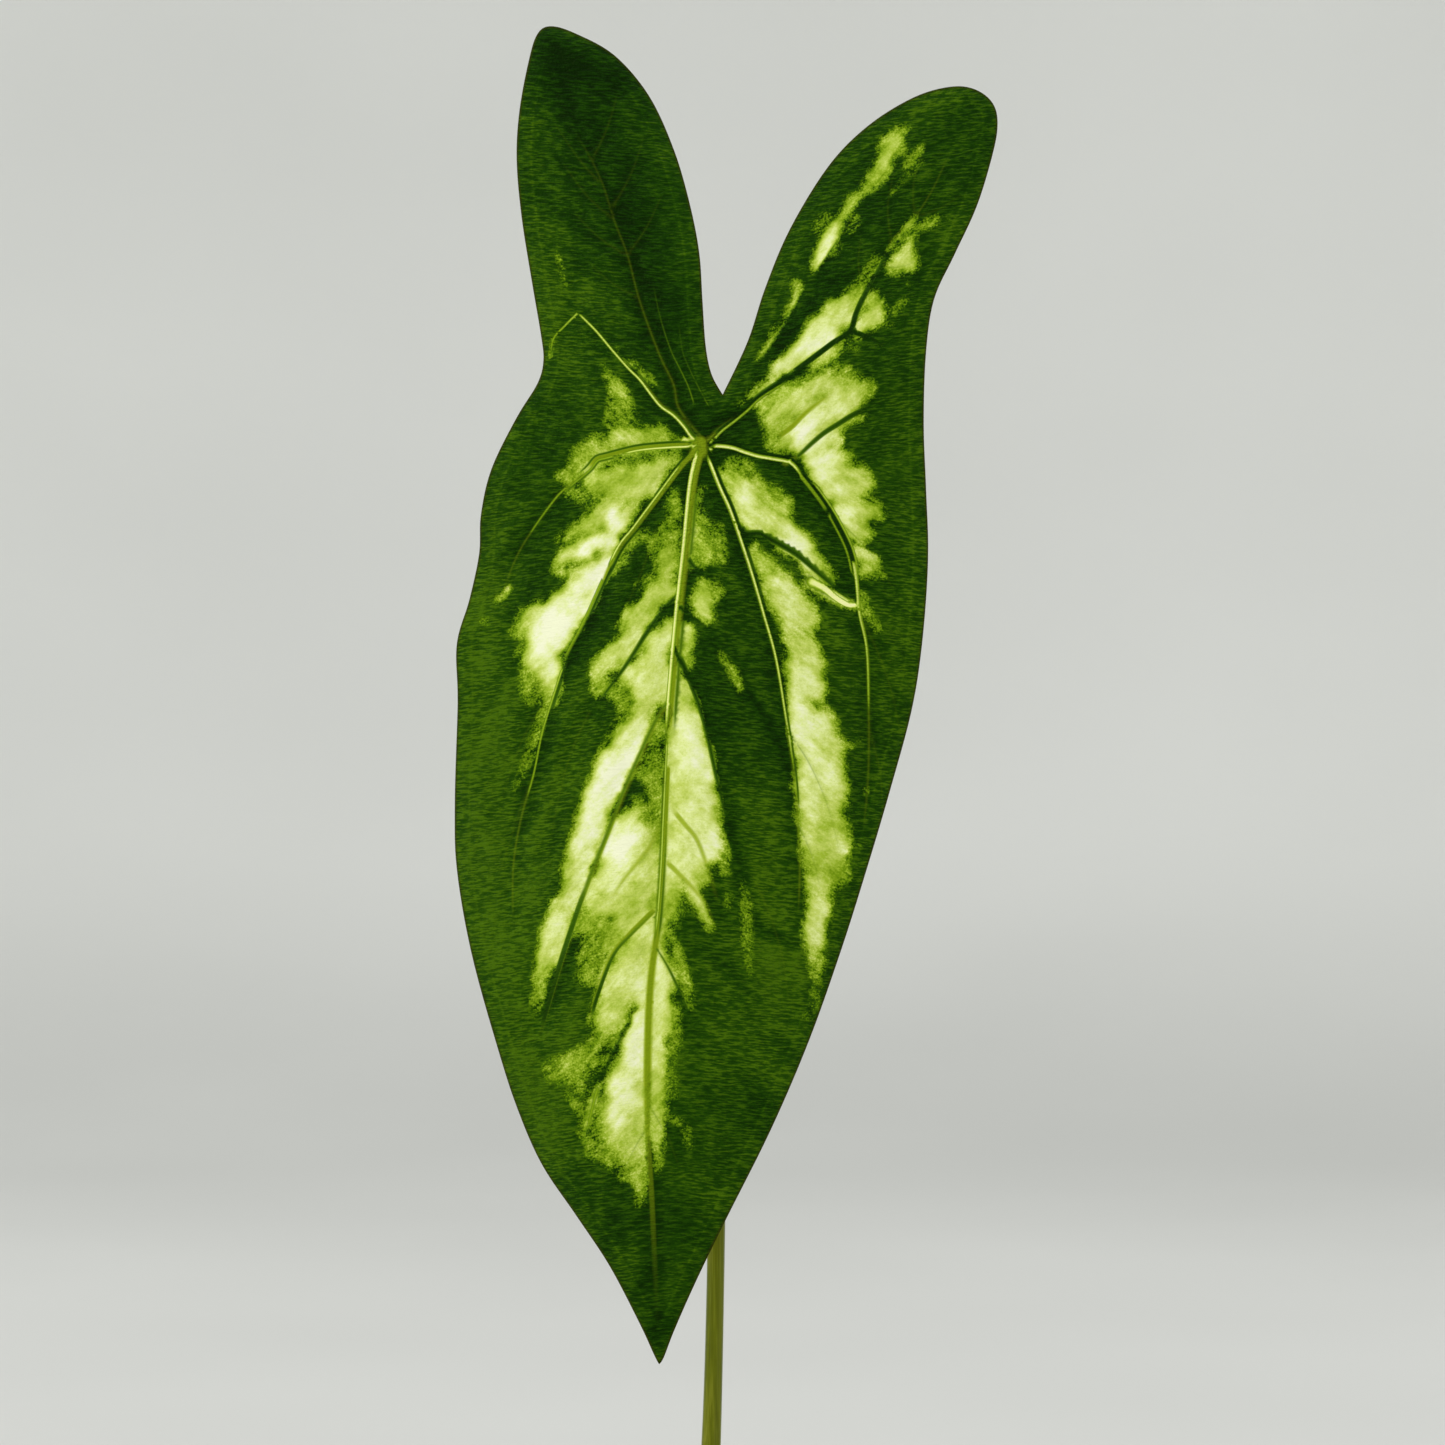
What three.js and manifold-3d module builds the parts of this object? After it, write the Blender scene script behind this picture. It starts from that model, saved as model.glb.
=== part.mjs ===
// A potted taro: one large arrow-shaped leaf on its stalk, growing from a corm that sits in potting
// soil in a plain clay pot. The corm's anchoring roots run through the soil.
// Millimetres, +Z up, origin on the pot's axis at the underside of its base; the leaf faces -Y.
import * as THREE from "three";
import { mergeVertices } from "three/addons/utils/BufferGeometryUtils.js";
import Module from "manifold-3d";

const wasm = await Module();
wasm.setup();

// ---- Driving dimensions, in millimetres ----
const CLEARANCE = 0.3; // left between two pieces that touch

const POT_HEIGHT = 170;
const POT_BASE_RADIUS = 62; // outside, at the bottom
const POT_MOUTH_RADIUS = 88; // outside of the tapered body, carried up to the top
const POT_WALL = 6.5;
const POT_FLOOR = 9;
const POT_CORNER = 3; // bevel round the foot and inside the floor
const RIM_HEIGHT = 32;
const RIM_THICKNESS = 7; // how far the rim band stands out from the body
const RIM_ROUND = 3; // radius of the lip's two edges
const DRAIN_RADIUS = 7;
const POT_SIDES = 48; // flats round the pot, and round the soil that fills it

const SOIL_DROP = 20; // from the lip down to the soil at the wall
const SOIL_CROWN = 4; // how much higher the soil is heaped at the middle

const CORM_RADIUS = 24;
const CORM_HEIGHT = 62;
const CORM_SHOWN = 14; // what stands out of the soil

const ROOT_COUNT = 8;
const ROOT_RADIUS = 1.5;
const ROOT_REACH = 34; // how far the roots spread from the corm
const ROOT_WALL_GAP = 6; // what they stay away from the pot's wall
const ROOT_DROP = 58;

const STALK_RISE = 410; // from the soil at the wall up to the leaf's hub
const STALK_RADIUS = 2.65;
const SHEATH_RADIUS = 9; // the stalk's clasping base
const SHEATH_LENGTH = 32; // over which the base narrows to the stalk
const STALK_SEAT = 2; // how much wider the corm is than the sheath where the stalk starts

const HUB_FORWARD = 30; // how far the hub hangs in front of the pot's axis
const BLADE_LENGTH = 405.6; // lobe tip to apex
const BLADE_THICKNESS = 0.8;
const LOBE_LEAN = 0.115; // slope of the blade at the hub
const FOLD_DEPTH = 11; // how far the margin droops behind the ribs
const FOLD_REACH = 75; // at this distance from the nearest rib
const RIPPLE = 2.5; // height of the waves along the margin

// ---- The leaf's outline, from above the hub, at its drawn length ----
const DRAWN_LENGTH = 405.6;
const LEFT_MARGIN = [
  [5.9, 16.4], [2.6, 22.5], [0.8, 31], [-0.2, 45], [-1.2, 60], [-4.2, 75.5], [-9, 92],
  [-16.5, 108.5], [-27, 121], [-39, 127.8], [-46.5, 130.1], [-50.6, 127.8], [-53.2, 119.5],
  [-56, 104], [-56.8, 89], [-55.2, 71], [-51.8, 50], [-49.2, 35], [-48.4, 27], [-50.2, 20],
  [-56.4, 9.7], [-64, -6], [-67.2, -20], [-67.7, -31.5], [-70.7, -45.6], [-74.4, -59],
  [-73.9, -77], [-74.8, -108], [-74.2, -127], [-69.8, -151], [-61.9, -179], [-55.8, -198],
  [-48.4, -215], [-38, -230.4], [-28, -245.5], [-19, -263], [-14.6, -272.8], [-13.2, -275.5],
];
const RIGHT_MARGIN = [
  [-13.2, -275.5], [-11.8, -273.4], [-8.4, -264.5], [-1.9, -249.7], [7.1, -231], [20.3, -204.5],
  [31.9, -177.6], [41.4, -151], [49.3, -126], [56.4, -102.6], [62.8, -79.4], [66, -59],
  [67.9, -33], [67.4, -12], [66.7, 8], [67.4, 29], [69.9, 45.5], [76.2, 59.3], [83, 74],
  [87.7, 89], [89.6, 99], [88.3, 105.9], [83, 110.3], [75.4, 111.2], [64, 107.9],
  [50.2, 99.3], [38.2, 87], [26.4, 67.5], [18.8, 49.2], [13.5, 32.8], [5.9, 16.4],
];
// The three main ribs that leave the hub: the midrib, and one for each lobe.
const RIBS = [
  [[0, 0], [-14, -274]],
  [[0, 0], [-44, 118]],
  [[0, 0], [43, 34], [78, 104]],
];

// ---- Places worked out from the dimensions ----
const SOIL_Z = POT_HEIGHT - SOIL_DROP;
const HUB = new THREE.Vector3(0, -HUB_FORWARD, SOIL_Z + STALK_RISE);
const CORM_TOP = SOIL_Z + CORM_SHOWN;
const BLADE_SCALE = BLADE_LENGTH / DRAWN_LENGTH;

// ---- Solids ----
function toSolid(geometry) {
  const bare = geometry.clone();
  bare.deleteAttribute("normal");
  bare.deleteAttribute("uv");
  const merged = mergeVertices(bare, 1e-4);
  return new wasm.Manifold(
    new wasm.Mesh({
      numProp: 3,
      vertProperties: merged.attributes.position.array,
      triVerts: new Uint32Array(merged.index.array),
    }),
  );
}

function toGeometry(solid) {
  const mesh = solid.getMesh();
  return new THREE.BufferGeometry()
    .setAttribute("position", new THREE.BufferAttribute(mesh.vertProperties, 3))
    .setIndex(new THREE.BufferAttribute(mesh.triVerts, 1));
}

// A profile of [radius, height] points turned round the pot's axis.
function turned(profile, sides) {
  const points = profile.map(([radius, height]) => new THREE.Vector2(radius, height));
  return new THREE.LatheGeometry(points, sides).rotateX(Math.PI / 2);
}

// A round bar along a path, with the radius radiusAt(share of the path); it can run on past the end.
function tube(path, radiusAt, sides, steps, overshoot = 0) {
  const geometry = new THREE.CylinderGeometry(1, 1, 1, sides, steps);
  const frames = path.computeFrenetFrames(steps, false);
  const position = geometry.attributes.position;
  const point = new THREE.Vector3();
  for (let i = 0; i < position.count; i++) {
    const step = Math.round((position.getY(i) + 0.5) * steps);
    const share = step / steps;
    const radius = radiusAt(share);
    path.getPointAt(share, point);
    if (step === steps) point.addScaledVector(frames.tangents[step], overshoot);
    point.addScaledVector(frames.normals[step], position.getX(i) * radius);
    point.addScaledVector(frames.binormals[step], -position.getZ(i) * radius);
    position.setXYZ(i, point.x, point.y, point.z);
  }
  return geometry;
}

// ---- Pot ----
function potOutside(height) {
  return THREE.MathUtils.mapLinear(height, 0, POT_HEIGHT, POT_BASE_RADIUS, POT_MOUTH_RADIUS);
}

function potInside(height) {
  return potOutside(height) - POT_WALL;
}

// The hollow's outline from the floor's middle to `top`, drawn in by `gap` on every side.
function hollow(top, gap, middle) {
  return [
    [middle, POT_FLOOR + gap],
    [potInside(POT_FLOOR) - POT_CORNER - gap, POT_FLOOR + gap],
    [potInside(POT_FLOOR + POT_CORNER) - gap, POT_FLOOR + POT_CORNER + gap],
    [potInside(top) - gap, top],
  ];
}

function potGeometry() {
  const rim = POT_MOUTH_RADIUS + RIM_THICKNESS;
  const rimFoot = POT_HEIGHT - RIM_HEIGHT;
  const lip = potInside(POT_HEIGHT);
  const quarter = [0, 30, 60, 90].map(THREE.MathUtils.degToRad);
  const outerLip = quarter.map((a) => [
    rim - RIM_ROUND + RIM_ROUND * Math.cos(a),
    POT_HEIGHT - RIM_ROUND + RIM_ROUND * Math.sin(a),
  ]);
  const innerLip = quarter.map((a) => [
    lip + RIM_ROUND - RIM_ROUND * Math.sin(a),
    POT_HEIGHT - RIM_ROUND + RIM_ROUND * Math.cos(a),
  ]);
  const foot = [POT_BASE_RADIUS - POT_CORNER, 0];
  const profile = [
    foot,
    [potOutside(POT_CORNER), POT_CORNER],
    [potOutside(rimFoot), rimFoot],
    [rim - RIM_ROUND, rimFoot],
    [rim - RIM_ROUND / 2, rimFoot + RIM_ROUND],
    ...outerLip,
    ...innerLip,
    ...hollow(POT_HEIGHT - 2 * RIM_ROUND, 0, DRAIN_RADIUS).reverse(),
    [DRAIN_RADIUS, 0],
    foot,
  ];
  return turned(profile, POT_SIDES);
}

// ---- Corm ----
// A turnip shape, blunt at both ends and narrower towards its crown; share runs from foot to crown.
function cormRadius(share) {
  const bluntness = 2.4;
  const round = (1 - Math.abs(2 * share - 1) ** bluntness) ** (1 / bluntness);
  return CORM_RADIUS * round * (1 - 0.25 * share);
}

function cormGeometry(gap) {
  const steps = 14;
  const profile = Array.from({ length: steps + 1 }, (_, i) => {
    const share = (1 - Math.cos((Math.PI * i) / steps)) / 2;
    const inner = i > 0 && i < steps;
    const height = CORM_TOP + gap - (CORM_HEIGHT + 2 * gap) * (1 - share);
    return [inner ? cormRadius(share) + gap : 0, height];
  });
  return turned(profile, 24);
}

// How far under the crown the corm is as wide as the stalk's clasping base needs.
function seatDepth() {
  const steps = 100;
  for (let i = steps; i > steps / 2; i--) {
    const share = i / steps;
    if (cormRadius(share) >= SHEATH_RADIUS + STALK_SEAT) return CORM_HEIGHT * (1 - share);
  }
  return CORM_HEIGHT / 2;
}

// ---- Roots ----
function rootPath(index) {
  const turn = (2 * Math.PI * index) / ROOT_COUNT;
  const start = SOIL_Z - (index % 2 ? 30 : 18);
  const place = (radius, sway, drop) => {
    const height = start - drop;
    const most = potInside(height) - ROOT_WALL_GAP;
    const reach = Math.min(radius, most);
    const angle = turn + sway;
    return new THREE.Vector3(reach * Math.cos(angle), reach * Math.sin(angle), height);
  };
  return new THREE.CatmullRomCurve3([
    place(CORM_RADIUS * 0.4, 0, 0),
    place(CORM_RADIUS + ROOT_REACH * 0.2, 0.04, ROOT_DROP * 0.06),
    place(CORM_RADIUS + ROOT_REACH * 0.6, 0.14, ROOT_DROP * 0.25),
    place(CORM_RADIUS + ROOT_REACH * 0.9, -0.04, ROOT_DROP * 0.6),
    place(CORM_RADIUS + ROOT_REACH, 0.1, ROOT_DROP),
  ]);
}

function rootGeometry(index, gap) {
  const thickness = (share) => ROOT_RADIUS * (1 - 0.7 * share) + gap;
  return tube(rootPath(index), thickness, 6, 9, gap);
}

// ---- Leaf blade ----
function distanceToRib(u, w, rib) {
  const point = new THREE.Vector3(u, w, 0);
  const nearest = new THREE.Vector3();
  const line = new THREE.Line3();
  let best = Infinity;
  for (let i = 0; i + 1 < rib.length; i++) {
    line.start.set(...rib[i], 0);
    line.end.set(...rib[i + 1], 0);
    line.closestPointToPoint(point, true, nearest);
    best = Math.min(best, nearest.distanceTo(point));
  }
  return best;
}

// How far behind the hub the blade's middle lies, u to the right of it and w above it. The ribs are
// soft ridges with the blade drooping away on both sides, and the whole blade hangs in a long curve.
function bladeDepth(u, w) {
  const x = u / BLADE_SCALE;
  const z = w / BLADE_SCALE;
  const near = RIBS.reduce((sum, rib) => sum + (distanceToRib(x, z, rib) ** 2 + 1) ** -2, 0);
  const aside = near ** -0.25;
  const fold = FOLD_DEPTH * (aside / FOLD_REACH) ** 1.6;
  const ripple = RIPPLE * Math.sin(z / 14 + x / 40) * (aside / FOLD_REACH) ** 2;
  const hang = LOBE_LEAN * z + 1.63e-4 * z ** 2 - 7.95e-7 * z ** 3;
  return BLADE_SCALE * (hang + fold + ripple);
}

// The blade's curved sheet, uncut, from `front` to `back` of its middle surface.
function bladeSheet(front, back) {
  const outline = [...LEFT_MARGIN, ...RIGHT_MARGIN].map(([u, w]) => new THREE.Vector2(u, w));
  const box = new THREE.Box2().setFromPoints(outline).expandByScalar(4);
  const size = box.getSize(new THREE.Vector2()).multiplyScalar(BLADE_SCALE);
  const centre = box.getCenter(new THREE.Vector2()).multiplyScalar(BLADE_SCALE);
  const geometry = new THREE.BoxGeometry(size.x, back - front, size.y, 18, 1, 42);
  const position = geometry.attributes.position;
  for (let i = 0; i < position.count; i++) {
    const u = position.getX(i) + centre.x;
    const w = position.getZ(i) + centre.y;
    const depth = position.getY(i) + (front + back) / 2 + bladeDepth(u, w);
    position.setXYZ(i, HUB.x + u, HUB.y + depth, HUB.z + w);
  }
  return geometry;
}

function bladeOutline() {
  const curve = (points) => new THREE.SplineCurve(points.map(([u, w]) => new THREE.Vector2(u, w)));
  const left = curve(LEFT_MARGIN).getPoints(2 * LEFT_MARGIN.length);
  const right = curve(RIGHT_MARGIN).getPoints(2 * RIGHT_MARGIN.length);
  const loop = [...left, ...right.slice(1, -1)];
  return new THREE.Shape(loop.map((p) => p.multiplyScalar(BLADE_SCALE)));
}

function bladeGeometry() {
  const through = 200;
  const prism = new THREE.ExtrudeGeometry(bladeOutline(), { depth: through, bevelEnabled: false });
  prism.rotateX(Math.PI / 2);
  prism.translate(HUB.x, HUB.y + through / 2, HUB.z);
  const sheet = bladeSheet(-BLADE_THICKNESS / 2, BLADE_THICKNESS / 2);
  return toGeometry(toSolid(sheet).intersect(toSolid(prism)));
}

// ---- Stalk ----
// It rises from the corm's crown, bows a little, and bends forward at the top to meet the hub from
// behind. The path starts inside the corm and ends in front of the blade, and both ends are cut.
function stalkPath() {
  const low = CORM_TOP - seatDepth();
  const along = (share) => THREE.MathUtils.lerp(SOIL_Z, HUB.z, share);
  const points = [
    [0, 0, low],
    [0.6, 3, along(0.15)],
    [2.8, 7, along(0.288)],
    [4.2, 8, along(0.45)],
    [5.4, 7, along(0.67)],
    [4.2, 2, along(0.86)],
    [2, HUB.y + 21, along(0.955)],
    [0.4, HUB.y + 9, along(0.992)],
    [0, HUB.y - 2, HUB.z],
  ];
  return new THREE.CatmullRomCurve3(points.map((p) => new THREE.Vector3(...p)));
}

function stalkGeometry() {
  const path = stalkPath();
  const length = path.getLength();
  const sheath = SHEATH_RADIUS - STALK_RADIUS;
  const radiusAt = (share) => STALK_RADIUS + sheath * Math.exp((-share * length) / SHEATH_LENGTH);
  const whole = toSolid(tube(path, radiusAt, 12, 38));
  const infrontOfBlade = toSolid(bladeSheet(-40, BLADE_THICKNESS / 2 + CLEARANCE));
  const cormRoom = toSolid(cormGeometry(CLEARANCE));
  return toGeometry(whole.subtract(infrontOfBlade).subtract(cormRoom));
}

// ---- Soil ----
function soilGeometry() {
  const edge = potInside(SOIL_Z) - CLEARANCE;
  const crownSteps = [0.8, 0.55, 0.3];
  const crown = crownSteps.map((share) => [
    edge * share,
    SOIL_Z + SOIL_CROWN * (1 - share) ** 1.5,
  ]);
  const profile = [...hollow(SOIL_Z, CLEARANCE, 0), ...crown, [0, SOIL_Z + SOIL_CROWN]];
  let soil = toSolid(turned(profile, POT_SIDES)).subtract(toSolid(cormGeometry(CLEARANCE)));
  for (let i = 0; i < ROOT_COUNT; i++) {
    soil = soil.subtract(toSolid(rootGeometry(i, CLEARANCE)));
  }
  return toGeometry(soil);
}

// ---- The plant ----
const clay = new THREE.MeshStandardMaterial({ color: 0xb5653f, roughness: 0.85 });
const pottingMix = new THREE.MeshStandardMaterial({ color: 0x2e211a, roughness: 1 });
const cormSkin = new THREE.MeshStandardMaterial({ color: 0x5a4030, roughness: 0.9 });
const rootSkin = new THREE.MeshStandardMaterial({ color: 0xd9cdb4, roughness: 0.8 });
const stalkSkin = new THREE.MeshStandardMaterial({ color: 0x5a6b14, roughness: 0.5 });
const leafSkin = new THREE.MeshStandardMaterial({ color: 0x2f6310, roughness: 0.45 });

function piece(name, geometry, material) {
  const mesh = new THREE.Mesh(geometry, material);
  mesh.name = name;
  return mesh;
}

const plant = new THREE.Group();
plant.add(
  piece("pot", potGeometry(), clay),
  piece("soil", soilGeometry(), pottingMix),
  piece("corm", cormGeometry(0), cormSkin),
  piece("petiole", stalkGeometry(), stalkSkin),
  piece("leaf_blade", bladeGeometry(), leafSkin),
);
const cormRoom = toSolid(cormGeometry(CLEARANCE));
for (let i = 0; i < ROOT_COUNT; i++) {
  const outside = toSolid(rootGeometry(i, 0)).subtract(cormRoom);
  plant.add(piece(`root_${i + 1}`, toGeometry(outside), rootSkin));
}

export default plant;
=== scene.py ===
"""A potted taro: one marbled, arrow-shaped leaf hanging from a tall stalk, in a clay flowerpot.

Leaf sizes are in millimetres from the leaf's hub, where the stalk meets the blade: u to the
right of it and w above it. Everything else is in metres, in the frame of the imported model.
"""

import math
import random

import bmesh
import bpy
import numpy as np
from mathutils import Matrix, Vector, geometry, noise


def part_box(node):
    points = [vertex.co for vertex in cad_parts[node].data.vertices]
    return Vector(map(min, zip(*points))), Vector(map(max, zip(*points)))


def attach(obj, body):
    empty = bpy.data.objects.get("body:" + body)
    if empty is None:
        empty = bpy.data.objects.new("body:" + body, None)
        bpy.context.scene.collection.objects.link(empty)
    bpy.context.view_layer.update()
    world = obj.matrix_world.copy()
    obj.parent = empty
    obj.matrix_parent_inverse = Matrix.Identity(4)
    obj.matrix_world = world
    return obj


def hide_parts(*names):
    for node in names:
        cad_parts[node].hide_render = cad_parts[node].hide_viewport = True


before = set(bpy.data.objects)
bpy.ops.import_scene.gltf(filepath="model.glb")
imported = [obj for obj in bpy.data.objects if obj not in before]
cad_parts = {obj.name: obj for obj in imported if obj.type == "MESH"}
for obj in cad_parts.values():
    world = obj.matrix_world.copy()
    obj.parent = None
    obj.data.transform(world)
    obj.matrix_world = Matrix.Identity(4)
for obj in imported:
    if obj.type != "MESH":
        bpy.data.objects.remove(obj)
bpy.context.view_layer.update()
random.seed(7)

MM = 0.001
POT_LOW, POT_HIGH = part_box("pot")
SOIL_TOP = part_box("soil")[1].z
CORM_LOW, CORM_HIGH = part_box("corm")
BLADE_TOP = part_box("leaf_blade")[1].z
AXIS = (POT_LOW + POT_HIGH) / 2
HUB_FORWARD = 30 * MM  # how far the hub hangs in front of the pot's axis
HUB_TO_TOP = 130.1 * MM  # from the hub up to the taller lobe's tip
HUB = Vector((AXIS.x, AXIS.y - HUB_FORWARD, BLADE_TOP - HUB_TO_TOP))
GAP = 0.3 * MM  # left between two pieces that touch

# The stalk, the corm and the pot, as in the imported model.
STALK_RADIUS, SHEATH_OUT, SHEATH_TALL = 2.65 * MM, 6.35 * MM, 32 * MM
CORM_RADIUS, CORM_BLUNTNESS, CORM_NARROWING = 24 * MM, 2.4, 0.25
CORM_TALL = CORM_HIGH.z - CORM_LOW.z
POT_TALL = POT_HIGH.z - POT_LOW.z
FOOT_RADIUS, MOUTH_RADIUS, WALL, FLOOR = 62 * MM, 88 * MM, 6.5 * MM, 9 * MM
POT_CORNER = 3 * MM  # bevel inside the floor
RIM_TALL, RIM_OUT, DRAIN = 32 * MM, POT_HIGH.x - AXIS.x, 7 * MM
SOIL_CROWN = 4 * MM  # how much higher the soil is heaped at the middle
SOIL_EDGE = SOIL_TOP - SOIL_CROWN  # height of the soil at the pot's wall

# How the blade bends, in millimetres.
LOBE_LEAN = 0.115  # slope of the blade at the hub
FOLD_DEPTH, FOLD_REACH = 11, 75  # the margin droops this far behind the ribs, this far from them
RIPPLE = 2.5  # height of the waves along the margin


# ---- Helpers for meshes ----
def add_object(name, data):
    made = bpy.data.objects.new(name, data)
    bpy.context.collection.objects.link(made)
    return made


def add_mesh(bm, name, material, smooth=True):
    """Turn a bmesh into an object with one material."""
    mesh = bpy.data.meshes.new(name)
    bm.to_mesh(mesh)
    bm.free()
    mesh.materials.append(material)
    if smooth:
        mesh.shade_smooth()
    else:
        mesh.shade_flat()
    return add_object(name, mesh)


def finish_piece(bm, name, material, node, smooth=True):
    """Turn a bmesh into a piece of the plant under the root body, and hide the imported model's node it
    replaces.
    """
    piece = add_mesh(bm, name, material, smooth)
    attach(piece, "root")
    if node:
        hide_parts(node)
    return piece


def turn_profile(bm, profile, steps):
    """Spin a closed or axis-to-axis line of (radius, height) points round the pot's axis."""
    verts = [bm.verts.new((AXIS.x + r, AXIS.y, z)) for r, z in profile]
    edges = [bm.edges.new(pair) for pair in zip(verts, verts[1:])]
    bmesh.ops.spin(
        bm,
        geom=verts + edges,
        cent=(AXIS.x, AXIS.y, 0),
        axis=(0, 0, 1),
        dvec=(0, 0, 0),
        angle=2 * math.pi,
        steps=steps,
        use_merge=True,
        use_duplicate=False,
    )
    bmesh.ops.remove_doubles(bm, verts=bm.verts[:], dist=1e-6)
    bmesh.ops.recalc_face_normals(bm, faces=bm.faces[:])


def rings_along(bm, stations, sides, shape=None):
    """Bridge round rings set along a path: stations are (centre, direction, radius)."""
    rings = []
    side = Vector((1, 0, 0))
    for index, (centre, direction, radius) in enumerate(stations):
        side = (side - side.project(direction)).normalized()
        turn = Matrix((side, direction.cross(side), direction)).transposed().to_4x4()
        made = bmesh.ops.create_circle(
            bm, segments=sides, radius=radius, matrix=Matrix.Translation(centre) @ turn
        )
        if shape:
            shape(made["verts"], centre, side, direction, radius, index)
        rings.append(list({e for v in made["verts"] for e in v.link_edges}))
    for below, above in zip(rings, rings[1:]):
        bmesh.ops.bridge_loops(bm, edges=below + above)
    for end in (rings[0], rings[-1]):
        bmesh.ops.contextual_create(bm, geom=end)
    bmesh.ops.recalc_face_normals(bm, faces=bm.faces[:])


def along_spline(points, steps):
    """The points of a smooth curve through the given ones, `steps` to each stretch."""
    p = np.asarray(points, float)
    last = len(p) - 1
    if last < 2:
        return p
    made = []
    for i in range(last):
        a, b, c, d = p[max(i - 1, 0)], p[i], p[i + 1], p[min(i + 2, last)]
        start, end = (c - a) / 2, (d - b) / 2
        for k in range(steps):
            t = k / steps
            cubic = (2 * b - 2 * c + start + end) * t**3
            square = (-3 * b + 3 * c - 2 * start - end) * t**2
            made.append(cubic + square + start * t + b)
    made.append(p[last])
    return np.array(made)


# ---- The leaf's drawing, in millimetres from its hub ----
LEFT_MARGIN = [
    (5.9, 16.4), (2.6, 22.5), (0.8, 31), (-0.2, 45), (-1.2, 60), (-4.2, 75.5), (-9, 92),
    (-16.5, 108.5), (-27, 121), (-39, 127.8), (-46.5, 130.1), (-50.6, 127.8), (-53.2, 119.5),
    (-56, 104), (-56.8, 89), (-55.2, 71), (-51.8, 50), (-49.2, 35), (-48.4, 27), (-50.2, 20),
    (-56.4, 9.7), (-64, -6), (-67.2, -20), (-67.7, -31.5), (-70.7, -45.6), (-74.4, -59),
    (-73.9, -77), (-74.8, -108), (-74.2, -127), (-69.8, -151), (-61.9, -179), (-55.8, -198),
    (-48.4, -215), (-38, -230.4), (-28, -245.5), (-19, -263), (-14.6, -272.8), (-13.2, -275.5),
]
RIGHT_MARGIN = [
    (-13.2, -275.5), (-11.8, -273.4), (-8.4, -264.5), (-1.9, -249.7), (7.1, -231),
    (20.3, -204.5), (31.9, -177.6), (41.4, -151), (49.3, -126), (56.4, -102.6), (62.8, -79.4),
    (66, -59), (67.9, -33), (67.4, -12), (66.7, 8), (67.4, 29), (69.9, 45.5), (76.2, 59.3),
    (83, 74), (87.7, 89), (89.6, 99), (88.3, 105.9), (83, 110.3), (75.4, 111.2), (64, 107.9),
    (50.2, 99.3), (38.2, 87), (26.4, 67.5), (18.8, 49.2), (13.5, 32.8), (5.9, 16.4),
]
RIBS = [
    [(0, 0), (-14, -274)],
    [(0, 0), (-44, 118)],
    [(0, 0), (43, 34), (78, 104)],
]

# Veins, each from its start near the hub outwards.
MIDRIB = [
    (0, 3), (-1.2, -2), (-3.2, -11), (-5.1, -30), (-7.2, -49), (-8.8, -66.6), (-10, -83),
    (-11.3, -110), (-12.1, -127), (-13.3, -143), (-15.2, -156), (-16.2, -170), (-16.6, -191),
    (-16.5, -205), (-15.3, -225), (-14.2, -250), (-13.3, -271),
]
LEFT_DOWN = [
    (-1.5, 1), (-4, -2.5), (-6.5, -5.2), (-13.8, -15), (-20.7, -24.3), (-25.1, -29.9),
    (-30, -40), (-35.8, -52.9), (-41.1, -63.2), (-44.6, -73.5), (-48.3, -85.7), (-50.9, -98.4),
    (-54.7, -111.7), (-57, -126), (-57, -142),
]
LEFT_ACROSS = [
    (-1.5, 1.5), (-5, 1.1), (-10.9, 0.8), (-20.1, -0.1), (-29.4, -2.4), (-32.1, -3.2),
    (-34.7, -6.3), (-41.1, -11.6), (-44.6, -15.1), (-50.9, -23.7), (-56, -32), (-60.5, -43),
]
LEFT_UP = [
    (-1.5, 2), (-3.7, 3.6), (-5.7, 6.5), (-8.9, 10), (-12.7, 12.7), (-15.6, 16.2),
    (-19.1, 20.9), (-22.6, 24.4), (-27.5, 30), (-32.5, 36), (-38, 41.5),
]
LEFT_UP_BRANCH = [(-38, 41.5), (-42, 37.5), (-45.4, 33.6), (-46.2, 28)]
LEFT_UP_TWIG = [(-38, 41.5), (-40.5, 47), (-42, 54), (-44, 59)]
LEFT_LOBE = [
    (0, 3), (-4, 7.5), (-7.7, 13), (-8.9, 19.4), (-13.3, 28.8), (-19.3, 45.3), (-22.9, 59),
    (-26.9, 69.5), (-30.5, 80.8), (-34.6, 89.6), (-39, 97.4), (-43, 108), (-45.5, 118),
]
LEFT_LOBE_INNER = [(-2.6, 13), (-4.5, 18.9), (-7.2, 24.6), (-9.8, 30), (-13, 40), (-15.5, 52)]
LEFT_LOBE_EDGE = [(1.9, 12.4), (-1.6, 19), (-4.2, 24.4), (-6.3, 30), (-7.6, 40), (-9, 52)]
RIGHT_ACROSS = [
    (1.9, 0.8), (4, 1.1), (8.6, 0.6), (12.7, -0.8), (16.7, -2), (21.3, -2.8), (26.6, -4),
    (30, -7.8), (33, -11.5), (36.4, -16.1), (39.9, -21.7), (44.2, -30.7), (46, -39.4),
    (46.9, -49.3), (49.2, -60.3), (49.8, -75.3), (49.9, -90), (49.4, -102.5), (48, -116),
]
RIGHT_DOWN = [
    (0.7, -0.5), (3, -6.3), (5.3, -12.1), (8, -18), (10.9, -26.1), (14.7, -37.7), (18.4, -50.5),
    (21.9, -63.2), (24.8, -80.5), (27.4, -97.8), (28.4, -112), (29, -126), (28.5, -140),
]
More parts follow.
